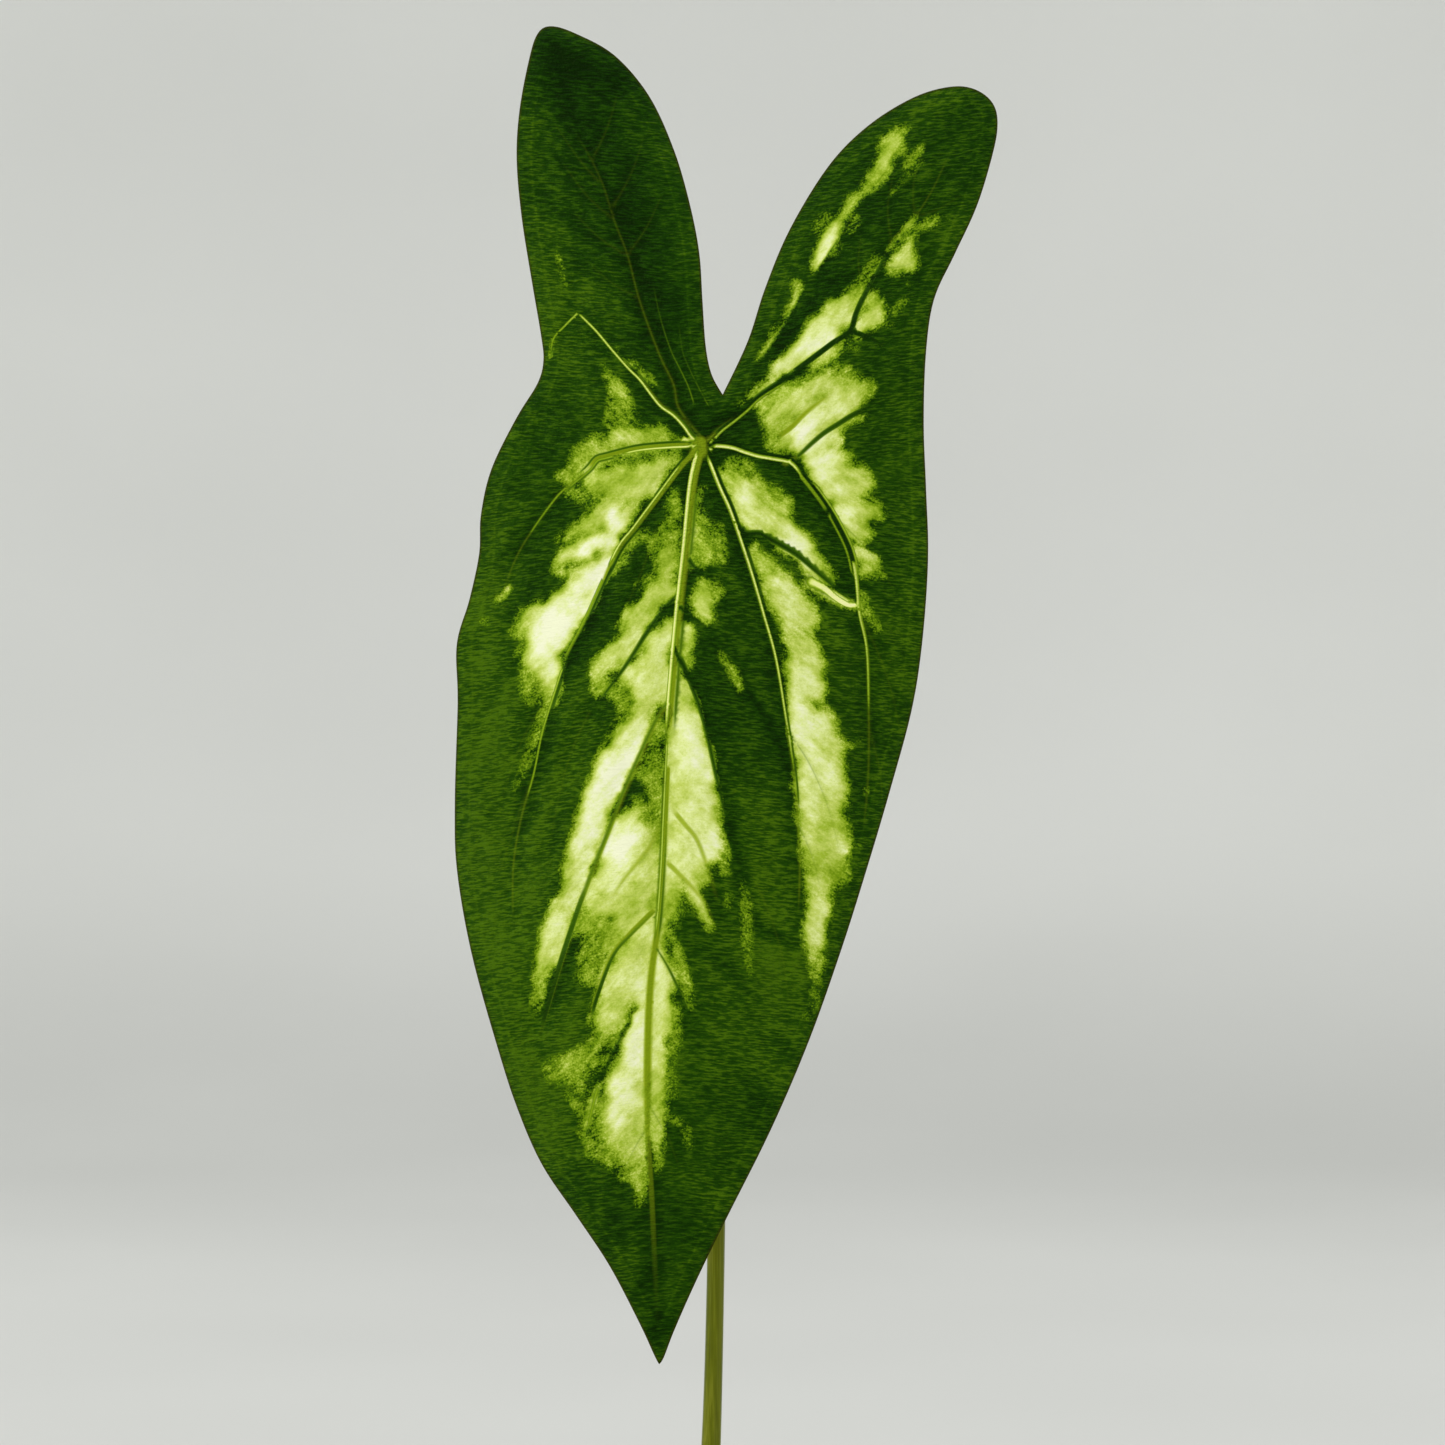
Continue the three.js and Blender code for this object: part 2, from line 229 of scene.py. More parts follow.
RIGHT_CROSS = [
    (9.5, -22.5), (12.6, -26.4), (16.7, -26.4), (19.3, -27.8), (27.6, -32.5), (35.2, -38.9),
    (42.2, -44.7), (46.7, -47),
]
RIGHT_CROSS_STREAK = [(30.5, -39.3), (35.8, -41.8), (39.8, -45), (43.3, -47), (46.5, -47.4)]
RIGHT_UP = [
    (24, -5), (28.3, -2.5), (32.4, 1.3), (36.5, 4.8), (41.1, 7.7), (45.8, 10.6), (51, 13),
]
RIGHT_UP_UPPER = [(22.5, 3.5), (26.6, 6.5), (30, 10), (34.1, 13.5), (39, 17)]
RIGHT_LOBE = [
    (0.8, 2), (2.4, 3.4), (5.1, 6.2), (8.6, 8.9), (12.7, 12.3), (16.7, 16.1), (24.3, 21.1),
    (32.4, 27), (39, 32), (44.4, 35.8), (46.2, 41), (48.7, 46.6), (53.7, 55.4), (57.4, 63.7),
    (64.4, 71.1), (70, 80), (75, 91),
]
RIGHT_LOBE_SIDE = [(44.4, 35.8), (48.1, 34.6), (51.9, 32.9), (56, 30.5)]
RIGHT_LOBE_EDGE = [(7, 13), (12, 20), (17.6, 27), (23.5, 36), (29.5, 46), (36, 56.5), (45.5, 70.5)]
DOWN_A = [
    (-7.3, -44.5), (-10.8, -47.6), (-16.6, -55.2), (-22, -63.8), (-29.2, -73.6), (-33.5, -78.5),
]
DOWN_B = [
    (-9.5, -75), (-13.7, -81), (-18.9, -92), (-24, -103.6), (-27.5, -112.8), (-32.1, -124.3),
    (-36.7, -136.4), (-41.8, -151.7), (-46, -165.6), (-49.5, -178),
]
DOWN_C = [(-14, -138), (-18, -142), (-22, -146), (-27, -151.9), (-31.6, -163.6), (-34, -172)]
DOWN_D = [(-16.5, -165), (-20, -169.5), (-23.5, -174.7), (-27.5, -182.8), (-31.5, -192), (-35, -206)]
DOWN_E = [(-12, -112), (-16, -120), (-20, -125), (-24, -130), (-29, -138)]
BACK_A = [(-4.5, -33), (-2.5, -36), (1, -38.5), (5, -40.5)]
BACK_B = [(-7, -48), (-4, -50.5), (0, -53.5), (4, -56)]
BACK_C = [
    (-8.7, -60), (-7, -64), (-4.4, -68.9), (0.2, -81.6), (3.6, -96.6), (7.1, -111.5),
    (10.6, -124), (15.5, -131), (19, -142),
]
BACK_D = [(-9.5, -108), (-5.7, -112.7), (-1.6, -117.9), (2, -128), (5, -138)]
BACK_E = [(-12, -123), (-7.3, -127.7), (0.2, -135.8), (4, -146)]
BACK_F = [(-13.8, -150), (-9.7, -156.9), (-5.6, -166.1), (-1, -178)]
SIDE_VEINS = [
    [(-16, -196), (-11, -205), (-7, -216)],
    [(-16.4, -204), (-21, -212), (-25, -222)],
    [(-45, -74), (-50, -80), (-56, -92), (-61, -108)],
    [(-51, -99), (-56, -112), (-62, -130)],
    [(-33.5, -78.5), (-39, -90), (-43, -104), (-46, -120)],
    [(47, -50), (52, -60), (57, -74), (60, -90)],
    [(38, -19), (45, -25), (52, -33), (58, -44)],
    [(49.8, -84), (53, -96), (54, -108)],
    [(25, -84), (32, -94), (38, -108), (42, -124)],
    [(28.4, -112), (33, -122), (36, -134)],
    [(15, -129), (20, -140), (24, -154), (26, -170)],
    [(-14, -24), (-18, -36), (-24, -50)],
    [(-19.5, 46), (-27, 50), (-35, 57)], [(-23, 59), (-31, 64), (-40, 73)],
    [(-27, 70), (-35, 77), (-43, 88)], [(-31, 81), (-38, 89), (-46, 101)],
    [(-23, 59), (-17, 68), (-12, 79)], [(-28, 73), (-22, 84), (-18, 96)],
    [(-34, 88), (-29, 99), (-26, 110)],
    [(49, 47), (47, 56), (48, 66)], [(57, 63), (56, 74), (58, 85)], [(64, 71), (64, 82), (68, 94)],
    [(54, 56), (60, 56), (67, 59)], [(64, 71), (71, 73), (79, 78)],
]

# Where the leaf lacks green: strokes of (u, w, width, paleness), paleness 1 being cream.
MARBLING = [
    # right lobe
    [(33.5, 54, 0.8, 0.75), (35, 58, 2.6, 0.95), (37.2, 62.5, 4, 0.98), (40, 67, 3.2, 0.9),
     (43, 72, 2, 0.72), (45.5, 76, 2.2, 0.66), (50, 79.5, 0.9, 0.55)],
    [(50, 79.5, 1, 0.5), (53, 84, 2.6, 0.58), (55.5, 89, 4.5, 0.64), (58, 93.5, 5, 0.62),
     (61, 97.5, 2.5, 0.5)],
    [(61, 86, 1, 0.5), (64, 89, 2.2, 0.62), (67, 92.5, 1, 0.45)],
    [(57, 78, 0.6, 0.35), (61, 82, 0.6, 0.4), (67, 88, 0.6, 0.35)],
    [(44.5, 67, 1.5, 0.5), (46.5, 70, 1.8, 0.5)], [(39.5, 59, 1, 0.4), (41, 62, 1.2, 0.45)],
    [(34, 67.5, 3, 0.26), (38, 71.5, 3, 0.26)], [(43.5, 78, 1.8, 0.24)], [(48, 63, 1.2, 0.24)],
    [(28, 50, 3.4, 0.36)],
    [(24.5, 40, 0.8, 0.6), (27, 44.5, 1.1, 0.62), (30, 49.5, 1, 0.5)],
    [(16.5, 27, 0.8, 0.5), (20, 32.5, 1.1, 0.6), (23.8, 38.5, 0.9, 0.55)],
    [(10.6, 14.2, 0.7, 0.5), (15, 17.6, 1.3, 0.58), (20, 21.6, 2.2, 0.68), (26, 26.6, 3.6, 0.8),
     (31, 30.3, 5.5, 0.97), (35.5, 34.5, 7, 0.88), (39.5, 39.5, 8, 0.78), (43.5, 44, 6.5, 0.7),
     (46.8, 47.8, 3.5, 0.58)],
    [(47, 50, 0.9, 0.5), (50, 55, 1, 0.5), (52.5, 60, 0.8, 0.35)],
    [(50, 51, 1.2, 0.45), (54, 57.5, 1, 0.4)],
    [(56, 60.5, 0.7, 0.4), (60, 65.5, 0.9, 0.55), (62.5, 68.5, 1.7, 0.66), (64.5, 71, 1, 0.5)],
    [(61.5, 60, 4, 0.6), (63, 63.5, 2.4, 0.55), (64.2, 66.5, 1.2, 0.45)],
    [(58, 54.5, 3.5, 0.6), (60, 56.8, 6.2, 0.7), (61.5, 57.5, 6, 0.66)], [(62, 50, 2, 0.26)],
    [(63, 62, 1.6, 0.3)],
    [(47.2, 36.4, 3, 0.75), (49.5, 38.5, 6, 0.78), (51.5, 42.5, 6, 0.7), (53.2, 47, 2.8, 0.55)],
    [(58, 42, 2.5, 0.34), (61, 45, 2.5, 0.32)], [(56.5, 37, 2, 0.24)], [(53, 31.5, 1.5, 0.24)],
    [(66.6, 67.6, 1.5, 0.6), (69, 69, 2, 0.62), (71.2, 70.4, 1.2, 0.5)], [(74, 70.3, 1.2, 0.25)],
    # under the vein of the right lobe
    [(33, 25.2, 1.5, 0.5), (37.5, 28.3, 3, 0.62), (42.3, 31.5, 2, 0.5)], [(46, 30, 2, 0.35)],
    [(18, 13.5, 3.5, 0.5), (24, 16, 5, 0.52), (31, 18, 6, 0.46), (38, 20.5, 6, 0.44),
     (44, 22, 5, 0.4)],
    [(41, 26, 2, 0.36)], [(51.5, 21.5, 1.5, 0.3)],
    # right shoulder
    [(19.5, 2.5, 3, 0.5), (22, 8, 8, 0.56), (30, 12.5, 9, 0.6), (38, 16.5, 9, 0.6), (45, 18, 8, 0.56),
     (49.5, 17, 4, 0.45)],
    [(27.5, 3.5, 2.5, 0.9), (29.8, 6, 5, 1), (32.5, 9, 4.5, 0.94), (37, 12, 5, 0.68), (43, 15, 5, 0.6)],
    [(30.5, -2, 3, 0.6), (34, -4.5, 5, 0.85), (38, -5, 6, 0.8), (41, -3, 4, 0.6)],
    [(35, 0.5, 5, 0.62), (40, 1, 4, 0.55)], [(45, 8, 1.5, 0.4), (48.8, 9.3, 1.8, 0.45)],
    [(34, -8.5, 4, 0.8), (39, -10, 6, 0.8), (45, -10.5, 6, 0.66), (50, -10, 3, 0.5)],
    [(37.5, -14, 3.5, 0.7), (42, -15.5, 5, 0.66), (47, -15, 4, 0.5)],
    [(41.5, -20.5, 4, 0.92), (46, -20.5, 5.5, 0.78), (51, -19.5, 5, 0.58), (54, -20, 3, 0.42)],
    [(44, -25.5, 3.5, 0.66), (48, -26.5, 4, 0.55)], [(46.5, -31, 3.5, 0.56), (49, -33, 4, 0.55)],
    [(48, -37, 3.5, 0.58), (51.5, -36.5, 3, 0.5)],
    [(47.5, -44, 2.5, 0.3), (50, -50, 3, 0.32), (53, -55.5, 1.5, 0.35)],
    [(22, 0.5, 4, 0.5), (27, 0.5, 3.5, 0.66)],
    [(29, 0.5, 4, 0.75), (34, 5, 5.5, 0.7), (39, 8, 6, 0.6), (45, 11.5, 4, 0.48)],
    [(44, -5, 6, 0.5), (46, -12.5, 5, 0.5)],
    [(24, 3, 1.5, 0.8), (32, 10, 2.5, 0.85), (42, 17, 3, 0.75)],
    [(28, 2, 3, 1), (33, 8, 4.5, 1), (40, 12, 4, 0.85), (47, 16, 2.5, 0.7)],
    [(20, 9, 2, 0.7), (28, 15, 3, 0.7), (37, 21, 3, 0.66)], [(31, -1, 2.5, 0.9), (40, 5, 3, 0.8)],
    [(33, -4, 3, 0.97), (44, -2, 2.5, 0.7)], [(35, -8, 3, 0.97), (48, -7, 3, 0.7)],
    [(38, -13, 3, 0.95), (50, -11, 3, 0.72)], [(41, -19, 4, 0.97), (53, -19, 3, 0.66)],
    [(43, -23, 2.5, 0.85), (50, -25, 3, 0.6)], [(46, -31, 3, 0.7), (52, -34, 3, 0.6)],
    [(47, -37, 2.5, 0.66), (54, -38, 2, 0.55)],
    # between the rib across and the one going down on the right
    [(6.5, -7, 4, 0.5), (9.5, -10.5, 6, 0.66), (12, -14, 7, 0.86), (13, -19, 7, 0.78),
     (16, -23, 6, 0.7)],
    [(17, -12.5, 6, 0.6), (21, -15, 7, 0.56), (23.5, -18.5, 6.5, 0.56)],
    [(18, -21, 8, 0.72), (23, -25, 8, 0.8), (27, -28, 7.5, 0.98), (30.5, -32, 7, 0.82),
     (34, -36, 5.5, 0.72), (37.5, -39.5, 3, 0.5)],
    [(8, -4, 2.5, 0.34), (13, -5, 3, 0.36), (16, -7, 2, 0.32)],
    [(31, -40.5, 1.6, 0.7), (37, -43.5, 2.4, 0.8), (42, -46, 2.2, 0.8), (46, -47.5, 1.4, 0.8)],
    # right of the rib going down on the right
    [(14.8, -30, 2, 0.5), (17.5, -34, 5, 0.54), (20.5, -38.5, 7, 0.58), (23.5, -43, 8.5, 0.64),
     (26.5, -48, 10.5, 0.66), (28.5, -52, 11, 0.62)],
    [(28, -57.5, 7, 0.6), (30, -60, 10, 0.66), (30.2, -66, 10.5, 0.68), (30.5, -71, 10.5, 0.84),
     (30.5, -75, 9.5, 0.95), (31.3, -80, 10, 0.84), (33.5, -87, 13, 0.76), (34.6, -93, 13, 0.84),
     (35, -99, 13, 0.86), (35.5, -106, 13.5, 0.7), (36, -113, 13.5, 0.64), (36.3, -120, 13.5, 0.7),
     (36.3, -127, 12.5, 0.62)],
    [(34.8, -131, 8, 0.64)],
    [(34, -137, 6.5, 0.68), (33.6, -142, 6, 0.74), (33.5, -147, 5.5, 0.66), (33.6, -152, 4.5, 0.48),
     (33.8, -158, 4, 0.34), (33.2, -164, 2.5, 0.22), (31, -171, 2, 0.14)],
    [(43, -88.5, 2.5, 0.4), (45, -90.5, 1.2, 0.3)], [(43, -107, 2, 0.35)], [(42, -127.5, 3, 0.5)],
    [(47, -88, 1.5, 0.3)], [(49, -103, 1.6, 0.34)], [(47, -120, 2, 0.24)],
    [(5, -61.5, 0.8, 0.3), (7.5, -65, 1.3, 0.5), (9.5, -68.5, 1.8, 0.55), (11.2, -73, 1, 0.4)],
    # right of the midrib, lower part
    [(-7.6, -67, 1.2, 0.6), (-6.6, -73, 3.4, 0.72), (-5.4, -79, 6.5, 0.8), (-4.4, -87, 9.5, 0.84),
     (-3.8, -96, 12, 0.84), (-3.2, -105, 13.5, 0.74), (-2.4, -112, 14.5, 0.74), (-1.8, -118, 14, 0.76)],
    [(-5.5, -121, 9, 0.74), (-4, -126, 8, 0.7), (-1, -129.5, 5, 0.56)],
    [(5.5, -119, 4, 0.46), (6.5, -127, 3, 0.3)],
    [(-4, -131.5, 3, 0.74), (-1, -137, 3, 0.74), (2.5, -144, 1.8, 0.5)],
    [(-10.6, -126, 3.2, 0.72), (-11, -133, 3, 0.7), (-12, -141, 3, 0.72), (-12.8, -149, 2, 0.66)],
    [(-8.5, -134, 3, 0.6), (-7, -140, 2, 0.36)],
    [(-9.5, -146, 2.5, 0.4), (-8, -150, 2.5, 0.4), (-6, -157, 3.5, 0.4), (-4.5, -163, 3, 0.36),
     (-3.5, -168, 2, 0.26)],
    [(-13.2, -154, 1.6, 0.8), (-12.4, -160, 3.2, 0.95), (-11.5, -167, 4, 0.8), (-12, -174, 4, 0.7)],
    [(-8.5, -168, 3, 0.46), (-8.6, -173, 3, 0.42)],
    [(-13.4, -150, 3, 0.7), (-13.6, -165, 3.4, 0.72), (-13.8, -178, 3.4, 0.7), (-14.2, -192, 3.6, 0.66),
     (-14.6, -206, 3, 0.55)],
    [(-8.6, -128, 4, 0.68), (-8.4, -134, 4, 0.62), (-9.4, -141, 3, 0.55)],
    [(-12.8, -180, 3.6, 0.66), (-13, -190, 3.8, 0.62), (-13, -199, 3.6, 0.6), (-13, -206, 3, 0.56),
     (-13.4, -212, 2.8, 0.38), (-13.4, -216, 2, 0.3)],
    [(-9, -184, 3, 0.16), (-8, -194, 3, 0.18)], [(-8.5, -201, 1.6, 0.35), (-5, -203, 1.4, 0.25)],
    [(12.5, -131, 2.5, 0.22), (12.8, -140, 3.2, 0.3), (13.2, -149, 3, 0.3), (14, -158, 2, 0.2)],
    [(7.6, -134, 1.6, 0.36), (7.8, -139, 1.4, 0.3)],
    [(-9, -85, 2.5, 0.7), (-10, -100, 2.5, 0.7), (-10.6, -115, 3, 0.7), (-11, -123, 3, 0.7)],
    [(-12.6, -150, 2.5, 0.6), (-11, -155, 3, 0.6), (-9, -161, 3, 0.5)],
    [(-8, -176, 4, 0.3), (-9, -181, 3, 0.28)], [(-5, -204, 3, 0.22), (-4, -209, 3, 0.18)],
    # right of the midrib, upper part
    [(-1.8, -14, 1.2, 0.5), (-3.2, -28, 1.5, 0.55), (-4.2, -36, 1.2, 0.5)], [(0, -12, 2, 0.4)],
    [(-0.5, -19, 3, 0.36), (0.5, -26, 4, 0.42), (1, -33, 5, 0.5)],
    [(4.5, -24, 3, 0.36), (5.5, -34, 3, 0.4)],
    [(-0.5, -42, 5, 0.6), (0.5, -47.5, 6, 0.74), (2, -50.5, 3.5, 0.62)], [(4.5, -43, 4, 0.48)],
    [(-5, -54, 3.4, 0.66), (-4.6, -58, 4.4, 0.66), (-5, -62, 3, 0.6), (-5.4, -66, 1.6, 0.5)],
    # left shoulder
    [(-29.5, 25, 1.2, 0.42), (-27.5, 21.5, 3, 0.46), (-25, 17, 4.5, 0.44), (-24.5, 11.5, 8, 0.34),
     (-25, 7, 9, 0.34)],
    [(-13, 4.3, 3, 0.6), (-19, 4.2, 4.5, 0.6), (-26, 3, 3.6, 0.58)],
    [(-33, 2.5, 3.5, 0.4), (-37, -3.5, 6, 0.5), (-41, -8, 5, 0.44)],
    [(-19, 23.3, 1.2, 0.7), (-14.8, 19.8, 1.4, 0.72)], [(-23, 27, 1, 0.6), (-21, 25.2, 1.2, 0.6)],
    [(-26, 30, 1, 0.5)],
    [(-8, -3.6, 1.8, 0.6), (-14, -6.5, 5, 0.66), (-20, -9.5, 8, 0.7), (-27, -10, 8, 0.66),
     (-33, -10.5, 5.5, 0.6)],
    [(-17, -12, 5, 0.72), (-22, -13.5, 5.5, 0.7), (-28, -14, 5, 0.6)],
    [(-27, -19, 4.5, 0.9), (-26, -23.5, 5.5, 1)], [(-20.5, -16.5, 3.5, 0.66), (-23, -20.5, 3.4, 0.72)],
    [(-20, -27, 2.6, 0.32), (-22.5, -30.5, 2.6, 0.34), (-25, -34, 2.6, 0.42), (-27.5, -37, 1.6, 0.4)],
    [(-32, -21, 5, 0.74), (-37, -24, 4.5, 0.6), (-42, -27.5, 2.5, 0.5)],
    [(-43.5, -34, 2.4, 0.7), (-37, -30.5, 4, 0.92), (-31, -28, 4.5, 0.94), (-27, -27.5, 3, 0.9)],
    [(-44.5, -37, 2.5, 0.4), (-38, -37.5, 3.5, 0.55), (-33, -35.5, 3, 0.6)],
    [(-28.8, -33.6, 3, 0.95), (-32.5, -38.5, 6, 1), (-37, -45, 9, 1), (-42.5, -51.5, 11, 1),
     (-47.5, -58, 11, 0.96)],
    [(-50, -49.5, 5, 0.72), (-54, -52.5, 5, 0.58), (-56, -55.5, 3.5, 0.42)],
    [(-50, -62, 7, 0.82), (-47.5, -65, 10, 0.84)], [(-45.5, -69.5, 5.5, 0.68), (-46, -75, 4, 0.5)],
    [(-55, -62, 4, 0.4)],
    [(-48, -80, 3.5, 0.3), (-51, -89, 3.5, 0.26), (-54, -97, 3, 0.24), (-57, -103, 3, 0.16)],
    [(-64, -45.8, 0.9, 0.45), (-61, -44.5, 1.2, 0.55), (-57.8, -41.5, 0.8, 0.5)],
    [(-66, -52, 2.6, 0.36)],
    [(-42, 50, 1.5, 0.2), (-43, 55, 2, 0.24), (-44, 60, 1.5, 0.2)], [(-35, 46, 1.6, 0.16)],
    [(-46, 33, 1.4, 0.32), (-46.3, 28, 1, 0.28)], [(-35, 23.5, 1.4, 0.2)],
    [(-8, 1, 2.5, 0.5), (-20, 0.5, 4.5, 0.5), (-30, -1.5, 5, 0.5), (-36, -6, 4, 0.48)],
    [(-31, -16.5, 4, 0.48), (-23, -17.5, 4, 0.5)], [(-40, -13, 4, 0.3), (-36, -15, 4, 0.3)],
    [(-53, -68, 4, 0.34), (-52, -75, 5, 0.28)],
    # between the left rib and the midrib
    [(-8.5, -13, 2.5, 0.36), (-9, -20, 4, 0.38), (-10, -27, 4.5, 0.42)],
    [(-10.5, -33, 6, 0.66), (-11.5, -38, 5.5, 0.6)], [(-11, -43.5, 6, 0.74)],
    [(-15, -46.5, 7, 0.74), (-20, -51, 7.5, 0.68), (-24, -54, 3.5, 0.5)],
    [(-19, -56.5, 4, 0.8), (-25, -61, 6, 0.7), (-29.5, -65.5, 6, 0.62), (-31, -71, 5.5, 0.52)],
    [(-24.5, -32, 1.6, 0.45)], [(-20.5, -41, 1.2, 0.3)],
    [(-9.8, -54, 4, 0.74), (-13.5, -60, 7.5, 0.78), (-14.5, -67, 9, 0.76), (-16.5, -73, 9.5, 0.72)],
    [(-21, -66.5, 4.5, 0.74), (-23.5, -71, 4, 0.6)], [(-11, -70, 3.5, 0.74), (-11.5, -76, 3, 0.62)],
    [(-23, -33, 3, 0.3)], [(-17, -25, 3, 0.28), (-14.5, -31, 4, 0.38)], [(-16, -40.5, 4, 0.45)],
    [(-27, -74, 4, 0.4), (-22, -77.5, 5, 0.5), (-18, -79, 4, 0.6)],
    # left of the lower side vein, and between it and the midrib
    [(-15.8, -77.5, 3.5, 0.7), (-20, -84, 6, 0.86), (-24.5, -91, 7.5, 0.94), (-28.3, -99, 8.5, 1),
     (-31.3, -107, 8.5, 1), (-34.2, -115, 8, 0.92), (-36.7, -123, 7.5, 0.84), (-39, -131, 7, 0.72),
     (-42, -139.5, 7, 0.62), (-45, -147.5, 7.5, 0.7), (-46.8, -155, 5, 0.72), (-48.5, -162, 3, 0.5),
     (-50.3, -170, 2, 0.3)],
    [(-24.5, -82, 3, 0.4), (-31, -95, 3.5, 0.4), (-36, -109, 3, 0.38), (-40, -124, 3, 0.36)],
    [(-13.2, -83, 3.5, 0.38), (-14.5, -90, 4.5, 0.4), (-16, -96, 4.5, 0.44)], [(-13, -97.5, 2.4, 0.56)],
    [(-17.5, -96, 2.6, 0.52)], [(-14.5, -104, 4.5, 0.36), (-15, -110, 4.5, 0.42)],
    [(-19.5, -109, 4, 0.58), (-22.5, -113, 7, 0.86), (-25.5, -119, 8.5, 0.96), (-27, -125, 8, 0.86)],
    [(-16.5, -115, 4.5, 0.6), (-17.5, -121, 6, 0.66)], [(-21, -127, 10, 0.76), (-29, -130, 7, 0.74)],
    [(-16.5, -130, 4, 0.66)],
    [(-25, -135, 10, 0.76), (-19, -136, 7, 0.78), (-32, -138, 6.5, 0.68)], [(-35.5, -141, 3, 0.55)],
    [(-23, -143, 7, 0.76), (-17, -146, 5.5, 0.8)], [(-29, -144, 4, 0.55)],
    [(-33, -148, 5, 0.4), (-35, -154, 5, 0.36), (-34, -160, 3, 0.42)], [(-30, -150, 3, 0.36)],
    [(-14.2, -113, 3, 0.45), (-14.6, -122, 4, 0.6), (-15.4, -134, 4, 0.7), (-16.2, -141, 4, 0.72),
     (-16.6, -147, 3.5, 0.72)],
    [(-13, -85, 3, 0.42), (-14.5, -91, 5, 0.42), (-16.5, -97, 5.5, 0.44), (-15, -102, 4.5, 0.42),
     (-14, -109, 4, 0.42)],
    [(-33, -131, 5, 0.62), (-34.5, -137, 4, 0.6)], [(-37, -143.5, 4, 0.55), (-32.5, -144, 5, 0.52)],
    [(-28, -148, 5, 0.6), (-24.5, -151, 5, 0.66)], [(-28.5, -155, 4, 0.5), (-30, -160, 3, 0.45)],
    [(-31, -165, 4, 0.4), (-32.5, -172, 4, 0.36)], [(-22, -98, 3, 0.45)], [(-20, -106, 3, 0.35)],
    # the lowest part, left of the midrib
    [(-19.5, -151.5, 6, 0.76), (-22.5, -157, 8.5, 0.72), (-25, -164, 9, 0.66), (-28, -171, 8, 0.64),
     (-30, -177, 6, 0.5)],
    [(-18.3, -160, 3.2, 0.82), (-18.8, -166, 3.2, 0.74)],
    [(-33, -183, 4, 0.4), (-38, -187.5, 5.5, 0.46), (-43, -188, 5.5, 0.36), (-45.5, -184.5, 3, 0.3)],
    [(-33, -180, 5, 0.45), (-38, -184.5, 6, 0.46), (-42.5, -186.5, 6, 0.42)],
    [(-41, -193.5, 1.4, 0.42), (-38, -197, 1.2, 0.5), (-36.5, -199.5, 1.2, 0.45)],
    [(-46.5, -189, 2.5, 0.26)],
    [(-31.5, -191.5, 2.2, 0.55), (-34, -198.5, 2.6, 0.6), (-36.3, -206.5, 1.8, 0.5)],
    [(-38.5, -212, 1.4, 0.25)],
    [(-19.3, -171, 2.4, 0.88), (-20.4, -179, 6.5, 0.86), (-21.8, -186, 9, 0.82),
     (-23.3, -193, 10.5, 0.86), (-24.3, -199, 11, 0.84)],
    [(-23.5, -204.5, 11, 0.62), (-21.8, -210, 8, 0.58), (-20, -216, 5, 0.52), (-18.8, -222, 3.6, 0.42),
     (-18.2, -226.5, 2, 0.34)],
    [(-30, -206, 3, 0.34)], [(-30, -212, 2.2, 0.28)], [(-27.5, -217.5, 2, 0.32)], [(-16, -239, 1, 0.2)],
    [(-16.8, -150, 3, 0.7), (-17.7, -168, 3, 0.7), (-18.4, -185, 3, 0.8), (-18.6, -203, 3.2, 0.66),
     (-18.3, -214, 3.2, 0.54), (-18, -222, 2.6, 0.45)],
    [(-33, -179, 4, 0.4), (-27.5, -178, 4, 0.46)], [(-34, -186, 5, 0.4), (-30, -184, 3, 0.4)],
    [(-30.5, -198, 3.5, 0.55), (-29.5, -205, 4.5, 0.46), (-27.5, -213, 4, 0.42)],
    [(-33, -207, 3, 0.3), (-34, -213, 3, 0.24)], [(-37, -192, 4, 0.34)], [(-24, -218, 3, 0.34)],
]
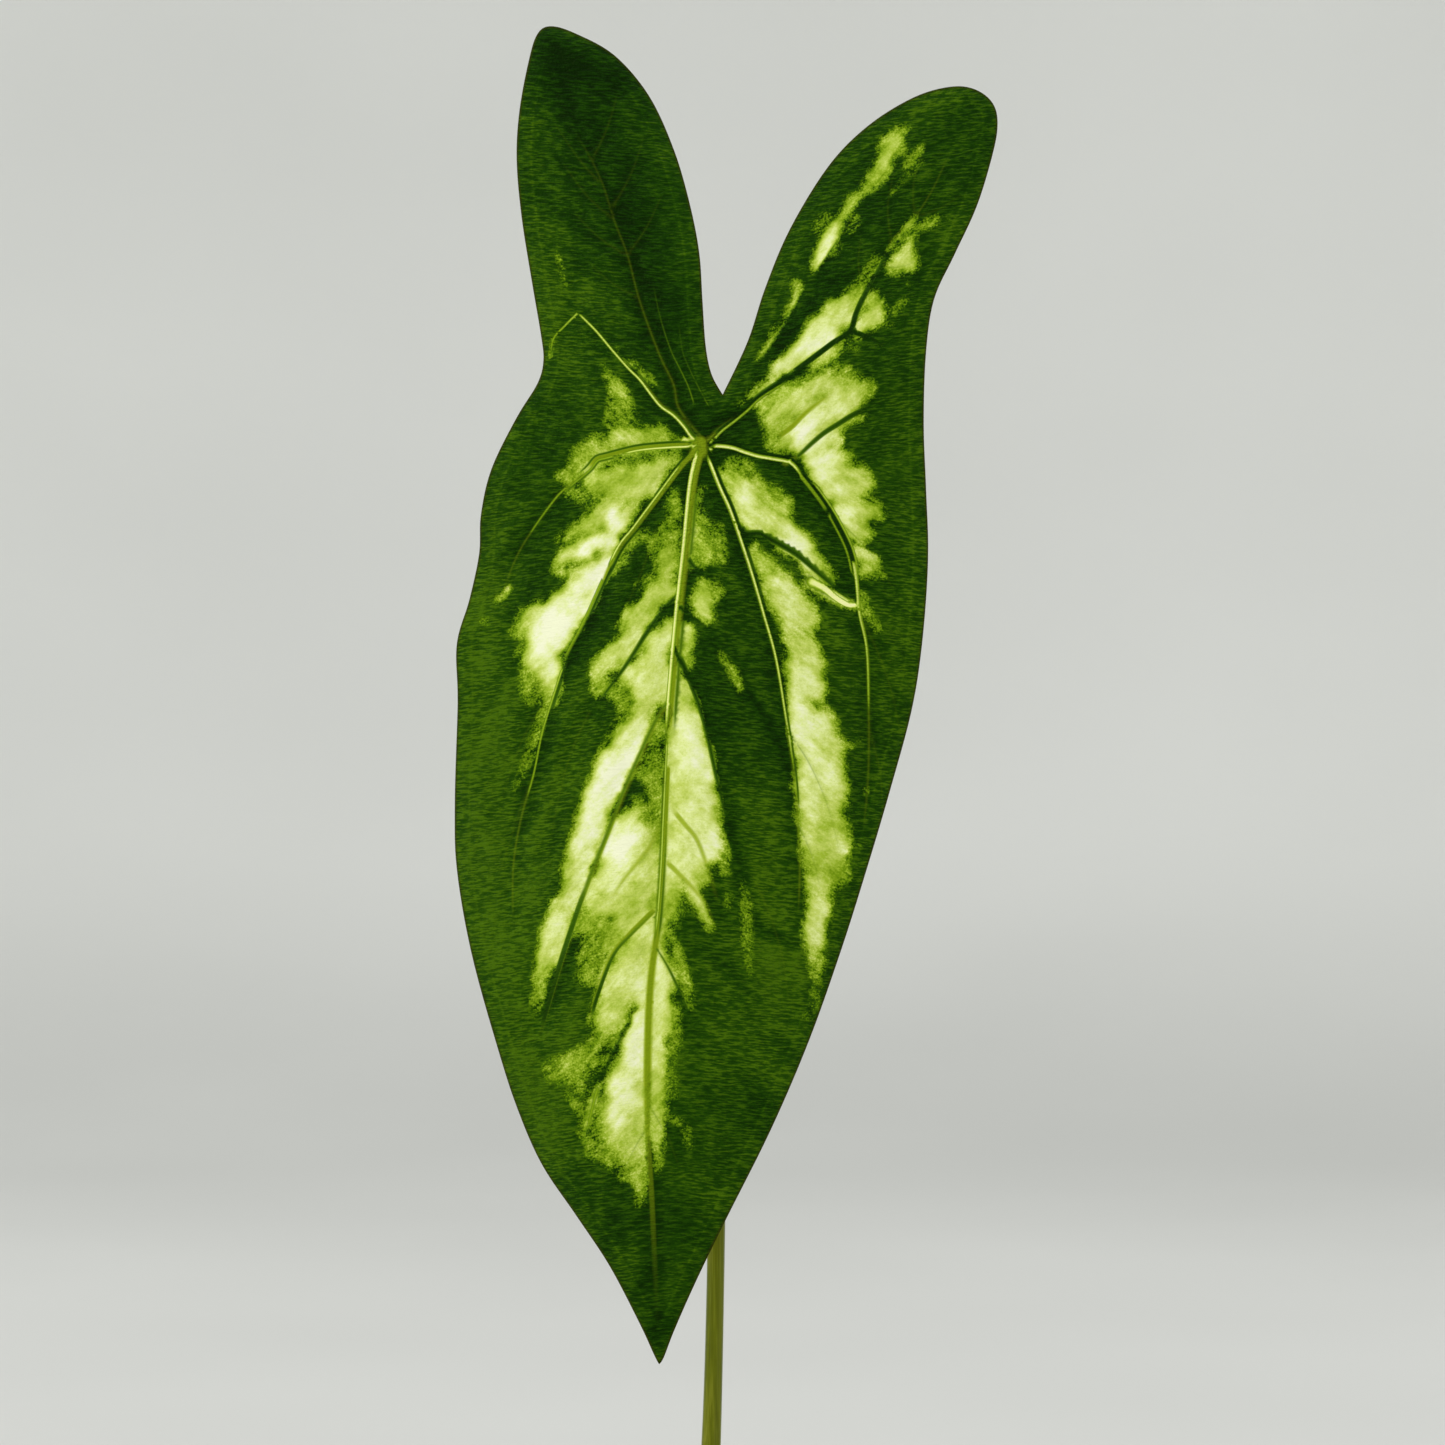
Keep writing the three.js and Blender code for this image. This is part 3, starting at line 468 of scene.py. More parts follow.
# Green that comes back inside the pale marbling: (u, w, width, paleness left).
GREEN_SPOTS = [
    [(10, 3.5, 4, 0.05), (14, 7, 5, 0.05)], [(19, -14, 2, 0.35), (24.5, -14.5, 1.6, 0.3)],
    [(23, -34, 3, 0.1), (27, -37, 4, 0.08)], [(45, -1.5, 2.5, 0.15), (46, -6.5, 2, 0.3)],
    [(30, 19.5, 1.6, 0.3)], [(35, 22, 1.6, 0.28)], [(47, 22.5, 2, 0.2)], [(41, 27.5, 1.4, 0.2)],
    [(27, -55.6, 1.2, 0.3), (35, -55.6, 1.4, 0.15)], [(31.5, -75.5, 2, 0.25), (35, -78.5, 2.5, 0.15)],
    [(31.5, -133.8, 0.9, 0.35), (38, -135.8, 1.1, 0.25)], [(-6.8, -122.3, 1.4, 0.35)],
    [(-5, -137, 3, 0.12), (-7.5, -146, 3, 0.1)], [(-24, -72.5, 2, 0.2)], [(-28, -76.5, 2.2, 0.12)],
    [(-51, -68, 2.2, 0.2)], [(-55, -71, 2, 0.12)], [(-40, -157, 3, 0.1), (-36, -168, 3.5, 0.08)],
    [(-30.5, -181, 2, 0.12), (-27, -176.5, 1.6, 0.3)], [(-44.5, -185.5, 1.6, 0.12)],
    [(-40, -191.5, 1.4, 0.15)], [(-32, -187, 2, 0.1)], [(-23, -215.5, 1.4, 0.2)],
    [(-22, -103.5, 3, 0.08)], [(-24, -16, 1.2, 0.4), (-20, -17, 1, 0.45)],
    [(-44, -35.8, 1.2, 0.42), (-36, -33, 1.2, 0.5), (-28, -30.6, 1, 0.55)],
    [(-27, -4.5, 2.4, 0.3), (-22, -4, 1.4, 0.35)], [(-11, -2.2, 1.4, 0.2)],
    [(5.5, -51, 2.5, 0.08), (1, -54.5, 2.5, 0.08)], [(6.5, -39.5, 2, 0.12), (1.5, -38.6, 1.2, 0.2)],
    [(8.5, -28, 2.5, 0.08)],
]
# Broad changes of the green: (u, w, width, level), from 0 almost black to 1 grass green.
# Mostly the leaf's own tone; a few narrow dark strokes are painted shade along the relief.
GREEN_WASHES = [
    [(-60, -5, 14, 0.48), (-64, -60, 18, 0.78), (-66, -110, 22, 0.82), (-60, -150, 18, 0.8),
     (-52, -185, 20, 0.84), (-42, -210, 16, 0.88)],
    [(-45, 20, 16, 0.5), (-42, 42, 18, 0.76), (-50, 62, 12, 0.68), (-52, 85, 8, 0.38)],
    [(-30, 8, 20, 0.5)],
    [(-8, 35, 16, 0.28), (-15, 60, 22, 0.3), (-24, 90, 22, 0.28)],
    [(-34, 60, 12, 0.42), (-38, 85, 12, 0.44)],
    [(-36, 112, 26, 0.04), (-47, 122, 12, 0.0)],
    [(20, 24, 8, 0.5), (40, 66, 14, 0.4), (64, 92, 18, 0.48), (80, 98, 14, 0.45)],
    [(34, 78, 8, 0.38), (60, 103, 7, 0.36)],
    [(72, 66, 12, 0.58), (63, 30, 12, 0.54), (62, 0, 11, 0.56), (63, -30, 10, 0.58)],
    [(56, -50, 14, 0.72), (58, -80, 12, 0.6), (50, -110, 12, 0.55), (44, -135, 10, 0.55)],
    [(42, -55, 12, 0.7), (42, -72, 10, 0.7)],
    [(30, -14, 14, 0.5)], [(5, -56, 12, 0.32), (12, -68, 14, 0.42), (12, -90, 16, 0.45)],
    [(16, -110, 14, 0.72), (20, -130, 16, 0.82), (24, -155, 16, 0.88), (18, -180, 18, 0.7)],
    [(6, -160, 14, 0.62), (6, -190, 18, 0.56), (-2, -220, 20, 0.64)],
    # Painted shade: the narrow dark strokes from (12, -70) and from (9, -112) stand for the shade of the
    # relief.
    [(-7, -182, 7, 0.8), (-6, -196, 6, 0.74)], [(12, -70, 2.5, 0.1), (18, -82, 3, 0.12), (25, -97, 3, 0.25)],
    [(9, -112, 2.5, 0.2), (13, -128, 3, 0.25), (18, -143, 3, 0.3), (28, -150, 2, 0.35)],
    [(12, 7, 7, 0.1), (15, 5, 6, 0.12)], [(24, -5, 6, 0.3), (31, -14, 8, 0.36), (38, -27, 7, 0.36)],
    [(38, 54, 10, 0.16), (30, 42, 6, 0.12), (22, 30, 5, 0.14)],
    [(-34, -88, 10, 0.9), (-42, -100, 12, 0.78), (-50, -120, 12, 0.8), (-54, -145, 12, 0.78)],
    [(-36, -168, 8, 0.8), (-42, -178, 10, 0.85)],
    [(-28, -226, 16, 0.5), (-20, -245, 14, 0.38), (-14, -266, 8, 0.3)],
    [(-26, -42, 6, 0.35), (-36, -62, 6, 0.4), (-38, -76, 10, 0.6)],
]

# Thin lines along the veins: (path, width at both ends, strength at both ends), and where they need
# it (span of the path, shift to one side, how much of the span fades in and out).
WHOLE = (0, 1)
# Partly the veins' own cream and lime, partly painted highlights: the lines set off to one flank of the
# midrib and the main ribs paint the lit side of a raised rib.
LIGHT_LINES_AND_HIGHLIGHTS = [
    (MIDRIB, (0.9, 0.7), (1, 0.95), (0.01, 0.34), -0.9),
    (MIDRIB, (0.5, 0.45), (0.6, 0.6), (0.33, 0.56), -0.5),
    (LEFT_DOWN, (0.5, 0.55), (0.7, 0.85), (0.05, 0.3), -0.55),
    (LEFT_DOWN, (0.55, 0.5), (0.62, 0.55), (0.3, 0.5), -0.3),
    (LEFT_DOWN, (0.5, 0.4), (0.55, 0.35), (0.5, 0.78)),
    (LEFT_ACROSS, (0.7, 0.5), (0.95, 0.75), (0.01, 0.3), 0.55),
    (LEFT_ACROSS, (0.5, 0.4), (0.55, 0.4), (0.3, 0.56), 0.4),
    (LEFT_ACROSS, (0.4, 0.3), (0.45, 0.3), (0.52, 0.78)),
    (LEFT_UP, (0.75, 0.5), (0.95, 0.7), WHOLE, 0, (0.04, 0.03)),
    (LEFT_UP_BRANCH, (0.5, 0.35), (0.6, 0.3), WHOLE, 0, (0, 0.2)),
    (LEFT_LOBE_INNER, (0.35, 0.3), (0.24, 0.1)),
    (LEFT_LOBE_EDGE, (0.35, 0.3), (0.2, 0.08), (0, 0.7)),
    (RIGHT_ACROSS, (0.75, 0.6), (1, 0.95), (0.005, 0.22), -0.35),
    (RIGHT_ACROSS, (0.45, 0.4), (0.85, 0.7), (0.21, 0.31), -0.75),
    (RIGHT_ACROSS, (0.4, 0.4), (0.6, 0.5), (0.24, 0.46), 0.95),
    (RIGHT_ACROSS, (0.4, 0.4), (0.45, 0.45), (0.31, 0.46), -0.9),
    (RIGHT_ACROSS, (0.9, 0.5), (0.8, 0.45), (0.42, 0.76), 0.1),
    (RIGHT_DOWN, (0.75, 0.4), (1, 0.75), (0.005, 0.74), -0.1),
    (RIGHT_CROSS_STREAK, (2.2, 1.3), (0.85, 1), WHOLE, 0, (0.15, 0.05)),
    (DOWN_D, (0.9, 0.7), (0.45, 0.35), (0.66, 1), 0, (0.1, 0.2)),
    (RIGHT_LOBE, (0.45, 0.4), (0.6, 0.35), (0, 0.27), -1.0),
]
OLIVE_LINES = [
    (MIDRIB, (2.3, 1.7), (1, 0.9), (0, 0.34)),
    (MIDRIB, (1.7, 2.0), (0.8, 0.8), (0.34, 0.76)),
    (MIDRIB, (1.8, 0.8), (0.7, 0.05), (0.7, 1), 0, (0.1, 0.6)),
    (LEFT_DOWN, (1.7, 0.8), (1, 0.65), (0, 0.35)),
    (LEFT_DOWN, (0.7, 0.5), (0.4, 0.25), (0.7, 1)),
    (LEFT_ACROSS, (1.5, 1.0), (1, 0.85), (0, 0.45), -0.2),
    (LEFT_ACROSS, (0.8, 0.5), (0.55, 0.15), (0.45, 1)),
    (LEFT_UP, (1.2, 0.7), (0.9, 0.4), (0, 0.5), -0.4),
    (LEFT_LOBE, (0.8, 0.5), (0.35, 0.08), (0, 0.85)),
    (RIGHT_ACROSS, (0.8, 0.6), (0.5, 0.12), (0.6, 1)),
    (RIGHT_DOWN, (0.9, 0.6), (0.5, 0.35), (0.6, 1)),
    (RIGHT_LOBE, (1.0, 0.6), (0.8, 0.1), (0, 0.1)),
    (RIGHT_LOBE, (0.5, 0.4), (0.3, 0.1), (0.7, 1)),
    (RIGHT_UP, (1.2, 0.6), (0.7, 0.1), (0, 0.3)),
    (RIGHT_UP_UPPER, (1.3, 0.9), (0.75, 0.4)),
    (DOWN_B, (1.4, 1.0), (0.7, 0.5), WHOLE, 0.3),
    (DOWN_C, (1.5, 1.0), (0.8, 0.5)),
    *((path, (1.3, 0.9), (0.42, 0.25), WHOLE, 0, (0.1, 0.3)) for path in (DOWN_E, BACK_D, BACK_E)),
    *((path, (0.8, 0.4), (0.1, 0.04)) for path in SIDE_VEINS),
]
# Partly the green of veins crossing the cream, partly painted shade: the lines set off to one flank of the
# ribs and of the side veins paint the shaded side of a raised rib.
DARK_LINES_AND_SHADE = [
    (MIDRIB, (0.5, 0.5), (0.7, 0.85), (0.03, 0.34), 1.35),
    (MIDRIB, (0.3, 0.5), (0.1, 0.9), (0.33, 0.56), 0.7),
    (MIDRIB, (0.45, 0.4), (0.7, 0.4), (0.36, 0.56), -1.2),
    (LEFT_DOWN, (0.6, 0.5), (0.9, 0.6), (0.02, 0.14), -1.0),
    (LEFT_DOWN, (0.5, 0.8), (0.5, 0.95), (0.1, 0.32), 0.9),
    (LEFT_DOWN, (0.8, 0.8), (0.8, 0.8), (0.28, 0.56), 0.6),
    (LEFT_DOWN, (0.8, 0.5), (0.75, 0.4), (0.5, 0.85), 0.75),
    (LEFT_ACROSS, (0.6, 0.5), (0.9, 0.6), (0.03, 0.5), -1.15),
    (LEFT_ACROSS, (0.6, 0.4), (0.5, 0.3), (0.3, 0.8), 0.9),
    (LEFT_UP, (0.6, 0.4), (0.8, 0.4), WHOLE, -0.85),
    (LEFT_LOBE, (0.8, 0.6), (0.5, 0.2), WHOLE, -0.9),
    (RIGHT_ACROSS, (1.1, 1.2), (1, 1), (0.01, 0.22), 0.6),
    (RIGHT_ACROSS, (1.4, 1.3), (1, 0.95), (0.2, 0.5)),
    (RIGHT_ACROSS, (0.8, 0.5), (0.8, 0.4), (0.48, 1), -0.6),
    (RIGHT_DOWN, (0.9, 0.6), (0.95, 0.8), (0.02, 0.4), 0.75),
    (RIGHT_DOWN, (0.5, 0.5), (0.6, 0.6), (0.4, 0.8), 0.6),
    (RIGHT_CROSS, (1.3, 0.9), (0.95, 0.7), WHOLE, 0.6),
    (RIGHT_LOBE, (0.9, 1.7), (0.8, 1), (0.03, 0.3), -0.2),
    (RIGHT_LOBE, (1.7, 1.0), (1, 0.8), (0.28, 0.72)),
    (RIGHT_LOBE_SIDE, (1.7, 1.1), (1, 0.85), WHOLE, 0, (0, 0.15)),
    (RIGHT_LOBE_EDGE, (0.8, 0.5), (0.5, 0.3)),
    (RIGHT_UP, (0.9, 1.3), (0.6, 0.9), (0.12, 1)),
    (DOWN_A, (1.1, 0.8), (0.9, 0.7), WHOLE, 0, (0, 0.2)),
    (DOWN_B, (1.0, 1.2), (0.35, 0.3), (0, 0.64)),
    (DOWN_B, (1.2, 1.4), (0.35, 0.95), (0.48, 1), 0, (0.3, 0.15)),
    (DOWN_C, (0.6, 1.0), (0.2, 0.9), WHOLE, 0.3),
    (DOWN_D, (0.8, 1.1), (0.3, 1), (0.15, 0.68), 0, (0.1, 0.1)),
    *((path, (1.1, 0.8), (0.9, 0.65), WHOLE, 0, (0, 0.2)) for path in (BACK_A, BACK_B, BACK_C)),
    (BACK_F, (0.8, 1.1), (0.3, 0.9), WHOLE, 0, (0, 0.2)),
    *((path, (0.8, 0.5), (0.22, 0.07), WHOLE, -0.5) for path in SIDE_VEINS),
]
# Short dabs of the same three, where the veins meet: (stroke, softness as a share, least softness).
LIGHT_DABS = [
    ([(-4.2, 2.6, 1.0, 0.9), (-5.8, 2.8, 1.1, 0.8)], 0.1, 0.6), ([(2.2, -0.2, 0.9, 0.9)], 0.1, 0.6),
]
OLIVE_DABS = [([(-1.0, 1.8, 4.0, 1), (-1.2, -0.8, 4.8, 1)], 0.1, 0.8)]
DARK_DABS = [([(-6.5, -64, 1.4, 0.85), (-4.6, -68.5, 1.9, 0.9)], 0.28, 0.5)]


# ---- Painting on the leaf ----
def soft_step(x):
    """0 below 0 and 1 above 1, with a smooth rise between."""
    x = np.clip(x, 0, 1)
    return x * x * (3 - 2 * x)


def nearest_on(path, points):
    """How far each point is from a path, the path's own values there, and the side it is on."""
    path = np.asarray(path, float)
    if len(path) == 1:
        off = points - path[0, :2]
        values = np.repeat(path[:1], len(points), 0)
        return np.hypot(off[:, 0], off[:, 1]), values, np.ones(len(points))
    far = np.full(len(points), 1e9)
    values = np.zeros((len(points), path.shape[1]))
    side = np.ones(len(points))
    for start, end in zip(path, path[1:]):
        along = end[:2] - start[:2]
        share = np.clip((points - start[:2]) @ along / max(along @ along, 1e-9), 0, 1)
        off = points - start[:2] - share[:, None] * along
        distance = np.hypot(off[:, 0], off[:, 1])
        closer = distance < far
        far[closer] = distance[closer]
        values[closer] = start + share[closer, None] * (end - start)
        side[closer] = np.sign(along[0] * off[closer, 1] - along[1] * off[closer, 0])
    return far, values, side


def near_box(path, points, reach):
    """Which points lie within reach of the path's box."""
    path = np.asarray(path, float)
    low, high = path[:, :2].min(0) - reach, path[:, :2].max(0) + reach
    return np.flatnonzero(((points > low) & (points < high)).all(1))


def brush(field, points, stroke, blend, soft_share=0.28, soft_least=0.5, grow=0.0):
    """Lay a stroke of (u, w, width, value) on a field; blend is "lighten" or "cover"."""
    widest = max(s[2] for s in stroke)
    touched = near_box(stroke, points, widest * (0.5 + soft_share) + soft_least + grow + 1)
    if not len(touched):
        return
    far, values, _ = nearest_on(along_spline(stroke, 3), points[touched])
    soft = soft_least + soft_share * values[:, 2]
    cover = soft_step((values[:, 2] / 2 + grow + 0.45 * soft - far) / soft)
    if blend == "lighten":
        field[touched] = np.maximum(field[touched], cover * values[:, 3])
    else:
        field[touched] += cover * (values[:, 3] - field[touched])


def draw_line(field, points, path, width, strength, span=WHOLE, shift=0, fade=(0.04, 0.15)):
    """Draw a thin line along a vein. width and strength are (start, end); shift moves it aside."""
    smooth = along_spline(path, 4)
    lengths = np.r_[0, np.cumsum(np.hypot(*np.diff(smooth[:, :2], axis=0).T))]
    share = lengths / lengths[-1]
    keep = (share >= span[0] - 1e-6) & (share <= span[1] + 1e-6)
    part = np.c_[smooth[keep, :2], (share[keep] - span[0]) / (span[1] - span[0])]
    touched = near_box(part, points, max(width) + abs(shift) + 1)
    far, values, side = nearest_on(part, points[touched])
    t = values[:, 2]
    half = (width[0] + (width[1] - width[0]) * t) / 2
    level = strength[0] + (strength[1] - strength[0]) * t
    level *= soft_step(t / max(fade[0], 1e-6)) * soft_step((1 - t) / max(fade[1], 1e-6))
    cover = soft_step((half + 0.25 - np.abs(far * side - shift)) / 0.5)
    field[touched] = np.maximum(field[touched], cover * level)


def blade_depth(points):
    """How far behind the hub the blade's middle lies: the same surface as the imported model's."""
    near = 0
    for rib in RIBS:
        near = near + (nearest_on(rib, points)[0] ** 2 + 1) ** -2
    aside = near**-0.25 / FOLD_REACH
    u, w = points.T
    ripple = RIPPLE * np.sin(w / 14 + u / 40) * aside**2
    hang = LOBE_LEAN * w + 1.63e-4 * w**2 - 7.95e-7 * w**3
    return hang + FOLD_DEPTH * aside**1.6 + ripple


# The veins as relief: (path, groove depth in front, groove width, ridge height behind, its width).
RELIEF = [
    (MIDRIB, 1.5, 9, 2.6, 4.4),
    (LEFT_DOWN, 1.2, 8, 1.7, 3.2),
    (LEFT_ACROSS, 0.9, 7, 1.1, 2.6),
    (LEFT_UP, 0.8, 7, 1.0, 2.4),
    (LEFT_LOBE, 1.1, 8, 1.5, 3.0),
    (RIGHT_ACROSS, 1.0, 8, 1.2, 2.8),
    (RIGHT_DOWN, 1.2, 8, 1.7, 3.2),
    (RIGHT_LOBE, 1.2, 8, 1.5, 3.0),
    (RIGHT_CROSS, 0.6, 6, 0.8, 2.2),
    (RIGHT_UP, 0.5, 6, 0.7, 2.0),
    (DOWN_A, 0.7, 7, 0.8, 2.2),
    (DOWN_B, 1.0, 8, 1.1, 2.6),
    (DOWN_C, 0.7, 7, 0.8, 2.2),
    (DOWN_D, 0.7, 7, 0.8, 2.2),
    (DOWN_E, 0.05, 5, 0.1, 1.8),
    (BACK_A, 0.4, 5, 0.5, 1.8),
    (BACK_B, 0.6, 6, 0.6, 2.0),
    (BACK_C, 1.0, 8, 1.1, 2.6),
    (BACK_D, 0.05, 5, 0.1, 2.0),
    (BACK_E, 0.05, 5, 0.1, 2.0),
    (BACK_F, 0.6, 6, 0.7, 2.0),
    (RIGHT_LOBE_SIDE, 0.5, 5, 0.6, 2.0),
    (LEFT_UP_BRANCH, 0.4, 5, 0.5, 1.8),
    (LEFT_UP_TWIG, 0.4, 5, 0.5, 1.8),
    (RIGHT_UP_UPPER, 0.3, 5, 0.4, 1.8),
    (LEFT_LOBE_INNER, 0.3, 4, 0.4, 1.6),
    (LEFT_LOBE_EDGE, 0.3, 4, 0.4, 1.6),
    (RIGHT_LOBE_EDGE, 0.4, 5, 0.5, 1.8),
    (RIGHT_CROSS_STREAK, 0.2, 4, 0.2, 1.6),
] + [(path, 0.45, 6, 0.5, 1.8) for path in SIDE_VEINS]

SPACING = 1.16  # between the points of the blade's fine surface, in millimetres
NARROW_STREAK = 4.1  # a stroke of marbling that is wider than this gets a ragged edge


def spaced(path, gap):
    """Points about `gap` apart along a path."""
    smooth = along_spline(path, 6)[:, :2]
    lengths = np.r_[0, np.cumsum(np.hypot(*np.diff(smooth, axis=0).T))]
    stops = np.linspace(0, lengths[-1], max(2, round(lengths[-1] / gap) + 1))
    return np.c_[np.interp(stops, lengths, smooth[:, 0]), np.interp(stops, lengths, smooth[:, 1])]


def beside(path, shift):
    """The path moved sideways by shift."""
    along = np.gradient(path, axis=0)
    along /= np.maximum(np.hypot(*along.T), 1e-9)[:, None]
    return path + shift * np.c_[-along[:, 1], along[:, 0]]


def outline_points():
    """The blade's rim, once round, evenly spaced."""
    left, right = spaced(LEFT_MARGIN, SPACING), spaced(RIGHT_MARGIN, SPACING)
    return np.vstack([left[:-1], right[:-1]])


def thin_out(points, apart, taken):
    """Keep the points that lie at least `apart` from each other and from those taken."""
    cells = {}
    for p in taken:
        cells.setdefault((int(p[0] // apart), int(p[1] // apart)), []).append(p)
    kept = []
    for p in points:
        x, y = int(p[0] // apart), int(p[1] // apart)
        close = (q for i in (-1, 0, 1) for j in (-1, 0, 1) for q in cells.get((x + i, y + j), ()))
        if all((p[0] - q[0]) ** 2 + (p[1] - q[1]) ** 2 >= apart * apart for q in close):
            cells.setdefault((x, y), []).append(p)
            kept.append(p)
    return kept


def blade_net():
    """The blade drawn flat: rows of points along its veins and margin, an even field between, and
    the triangles that join them. A grid can't follow both, so the points are triangulated."""
    rim = outline_points()
    loop = [tuple(p) for p in rim]
    rows = []
    for path, _, groove, _, _ in RELIEF:
        line = spaced(path, 1.1)
        for shift in (0, 0.5, -0.5, 1.0, -1.0, 1.6, -1.6)[: 7 if groove > 6 else 5]:
            rows.extend(beside(line, shift))
    for inset in (0.5, 1.1, 3.9, 4.5, 5.1):
        rows.extend(beside(np.r_[rim, rim[:1]], inset))
    low, high = rim.min(0), rim.max(0)
    field = [
        (u + (SPACING / 2 if j % 2 else 0), w)
        for j, w in enumerate(np.arange(low[1], high[1], SPACING * math.sqrt(0.75)))
        for u in np.arange(low[0], high[0], SPACING)
    ]
    veins = thin_out([tuple(p) for p in rows], 0.44, loop)
    even = thin_out(field, 0.8, loop + veins)
    points = [Vector(p) for p in loop + veins + even]
    border = [(i, (i + 1) % len(loop)) for i in range(len(loop))]
    verts, _, faces, *_ = geometry.delaunay_2d_cdt(points, border, [], 1, 1e-5)
    used = sorted({i for face in faces for i in face})
    renumber = {old: new for new, old in enumerate(used)}
    return np.array([verts[i] for i in used]), [[renumber[i] for i in face] for face in faces]


def wander(points, size, amount):
    """The points pushed about by smooth noise, so that painted edges come out ragged."""
    pushed = points.copy()
    for axis, seed in ((0, 3.7), (1, 91.3)):
        pushed[:, axis] += [amount * noise.noise((u / size, w / size, seed)) for u, w in points]
    return pushed


def edge_distance(points):
    rim = outline_points()
    return nearest_on(np.r_[rim, rim[:1]], points)[0]


def soften(values, faces, rounds):
    """Average each point with its neighbours on the net, a few times over."""
    corners = np.array(faces)
    one, other = corners.ravel(), np.roll(corners, 1, axis=1).ravel()
    links = np.bincount(one, minlength=len(values)) + np.bincount(other, minlength=len(values))
    for _ in range(rounds):
        total = np.bincount(one, values[other], len(values))
        total += np.bincount(other, values[one], len(values))
        values = 0.4 * values + 0.6 * total / links
    return values


def paint_marbling(points, faces):
    """How pale the leaf is: ragged patches, and narrow streaks that keep their course."""
    ragged = wander(wander(points, 5.0, 1.8), 2.0, 1.3)
    steady = wander(points, 4.0, 0.5)
    pale = np.zeros(len(points))
    for stroke in MARBLING:
        narrow = max(width for _, _, width, _ in stroke) < NARROW_STREAK
        brush(pale, steady if narrow else ragged, stroke, "lighten", grow=0.3 if narrow else 0.6)
    for stroke in GREEN_SPOTS:
        brush(pale, ragged, stroke, "cover", 0.5, 0.5)
    return soften(pale, faces, 2)


def paint_green_and_shade(points, edge, groove):
    """How bright the green is: broad washes, painted shade in the grooves, lighter inside the margin."""
    green = np.full(len(points), 0.5)
    drifting = wander(points, 14, 5)
    for stroke in GREEN_WASHES:
        brush(green, drifting, stroke, "cover", 0.9, 4)
    # Painted shade on the right half of the left lobe, the half turned away from the light.
    far, _, side = nearest_on(along_spline(LEFT_LOBE, 3), points)
    green -= 0.1 * (side < 0) * soft_step(1 - far / 14)
    green += 0.16 * soft_step(1 - abs(edge - 4.4) / 0.8)
    green += 0.05 * soft_step(1 - edge / 4)
    # Painted shade: darker in the grooves along the veins.
    green += 0.07 - 0.3 * groove
    return green


def paint_lines(points, lines, dabs):
    """How strongly one kind of line shows: a table of lines along the veins, and its dabs."""
    drawn = np.zeros(len(points))
    for line in lines:
        draw_line(drawn, points, *line)
    for stroke, soft_share, soft_least in dabs:
        brush(drawn, points, stroke, "lighten", soft_share, soft_least)
    return drawn


def relief(points, edge):
    """Depth of the grooves in front and height of the ridges behind, in millimetres."""
    groove, ridge = np.zeros(len(points)), np.zeros(len(points))
    for path, deep, broad, high, narrow in RELIEF:
        touched = near_box(path, points, broad * 2)
        smooth = along_spline(path, 4)
        tapering = np.c_[smooth, np.linspace(1, 0.35, len(smooth))]
        far, values, _ = nearest_on(tapering, points[touched])
        size = values[:, 2] * soft_step(edge[touched] / 7)
        valley = deep * size * np.exp(-((far / (broad * 0.42)) ** 2))
        groove[touched] = np.maximum(groove[touched], valley)
        round_top = high * size * soft_step(1 - far / (narrow * (0.5 + 0.5 * values[:, 2])))
        ridge[touched] = np.maximum(ridge[touched], round_top)
    return groove, ridge


def make_leaf():
    points, faces = blade_net()
    edge = edge_distance(points)
    groove, ridge = relief(points, edge)
    fields = {
        "pale": paint_marbling(points, faces),
        "green": paint_green_and_shade(points, edge, groove),
        "light_line_and_highlight": paint_lines(points, LIGHT_LINES_AND_HIGHLIGHTS, LIGHT_DABS),
        "olive_line": paint_lines(points, OLIVE_LINES, OLIVE_DABS),
        "dark_line_and_shade": paint_lines(points, DARK_LINES_AND_SHADE, DARK_DABS),
        "margin": np.minimum(edge, 12),
        "ridge": ridge,
    }
    swell = [0.35 * noise.noise((u / 9, w / 9, 5.1)) for u, w in points]
    front = blade_depth(points) + groove - 0.3 * ridge + np.array(swell) * soft_step(edge / 6)
    bm = bmesh.new()
    layers = {name: bm.verts.layers.float.new(name) for name in fields}
    behind = bm.verts.layers.float.new("behind")
    for (u, w), y in zip(points, front - 0.4 * soft_step(edge / 3)):
        bm.verts.new(HUB + Vector((u, y, w)) * MM)
    bm.verts.ensure_lookup_table()
    for name, layer in layers.items():
        for vert, value in zip(bm.verts, fields[name]):
            vert[layer] = value
    for face in faces:
        bm.faces.new([bm.verts[i] for i in face])
    back = bmesh.ops.extrude_face_region(bm, geom=bm.faces[:], use_keep_orig=True)
    for vert in (v for v in back["geom"] if isinstance(v, bmesh.types.BMVert)):
        flesh = 0.3 + 0.5 * float(soft_step(vert[layers["margin"]] / 3))
        vert.co.y += (flesh + vert[layers["ridge"]]) * MM
        vert[behind] = 1
    bmesh.ops.recalc_face_normals(bm, faces=bm.faces[:])
    return finish_piece(bm, "taro_leaf", leaf_material(), "leaf_blade")


# ---- Finishes ----
def colour(red, green, blue):
    """A screen colour, 0 to 255, as the shader's linear one."""
    shares = [c / 255 for c in (red, green, blue)]
    return (*(((c + 0.055) / 1.055) ** 2.4 if c > 0.04045 else c / 12.92 for c in shares), 1)


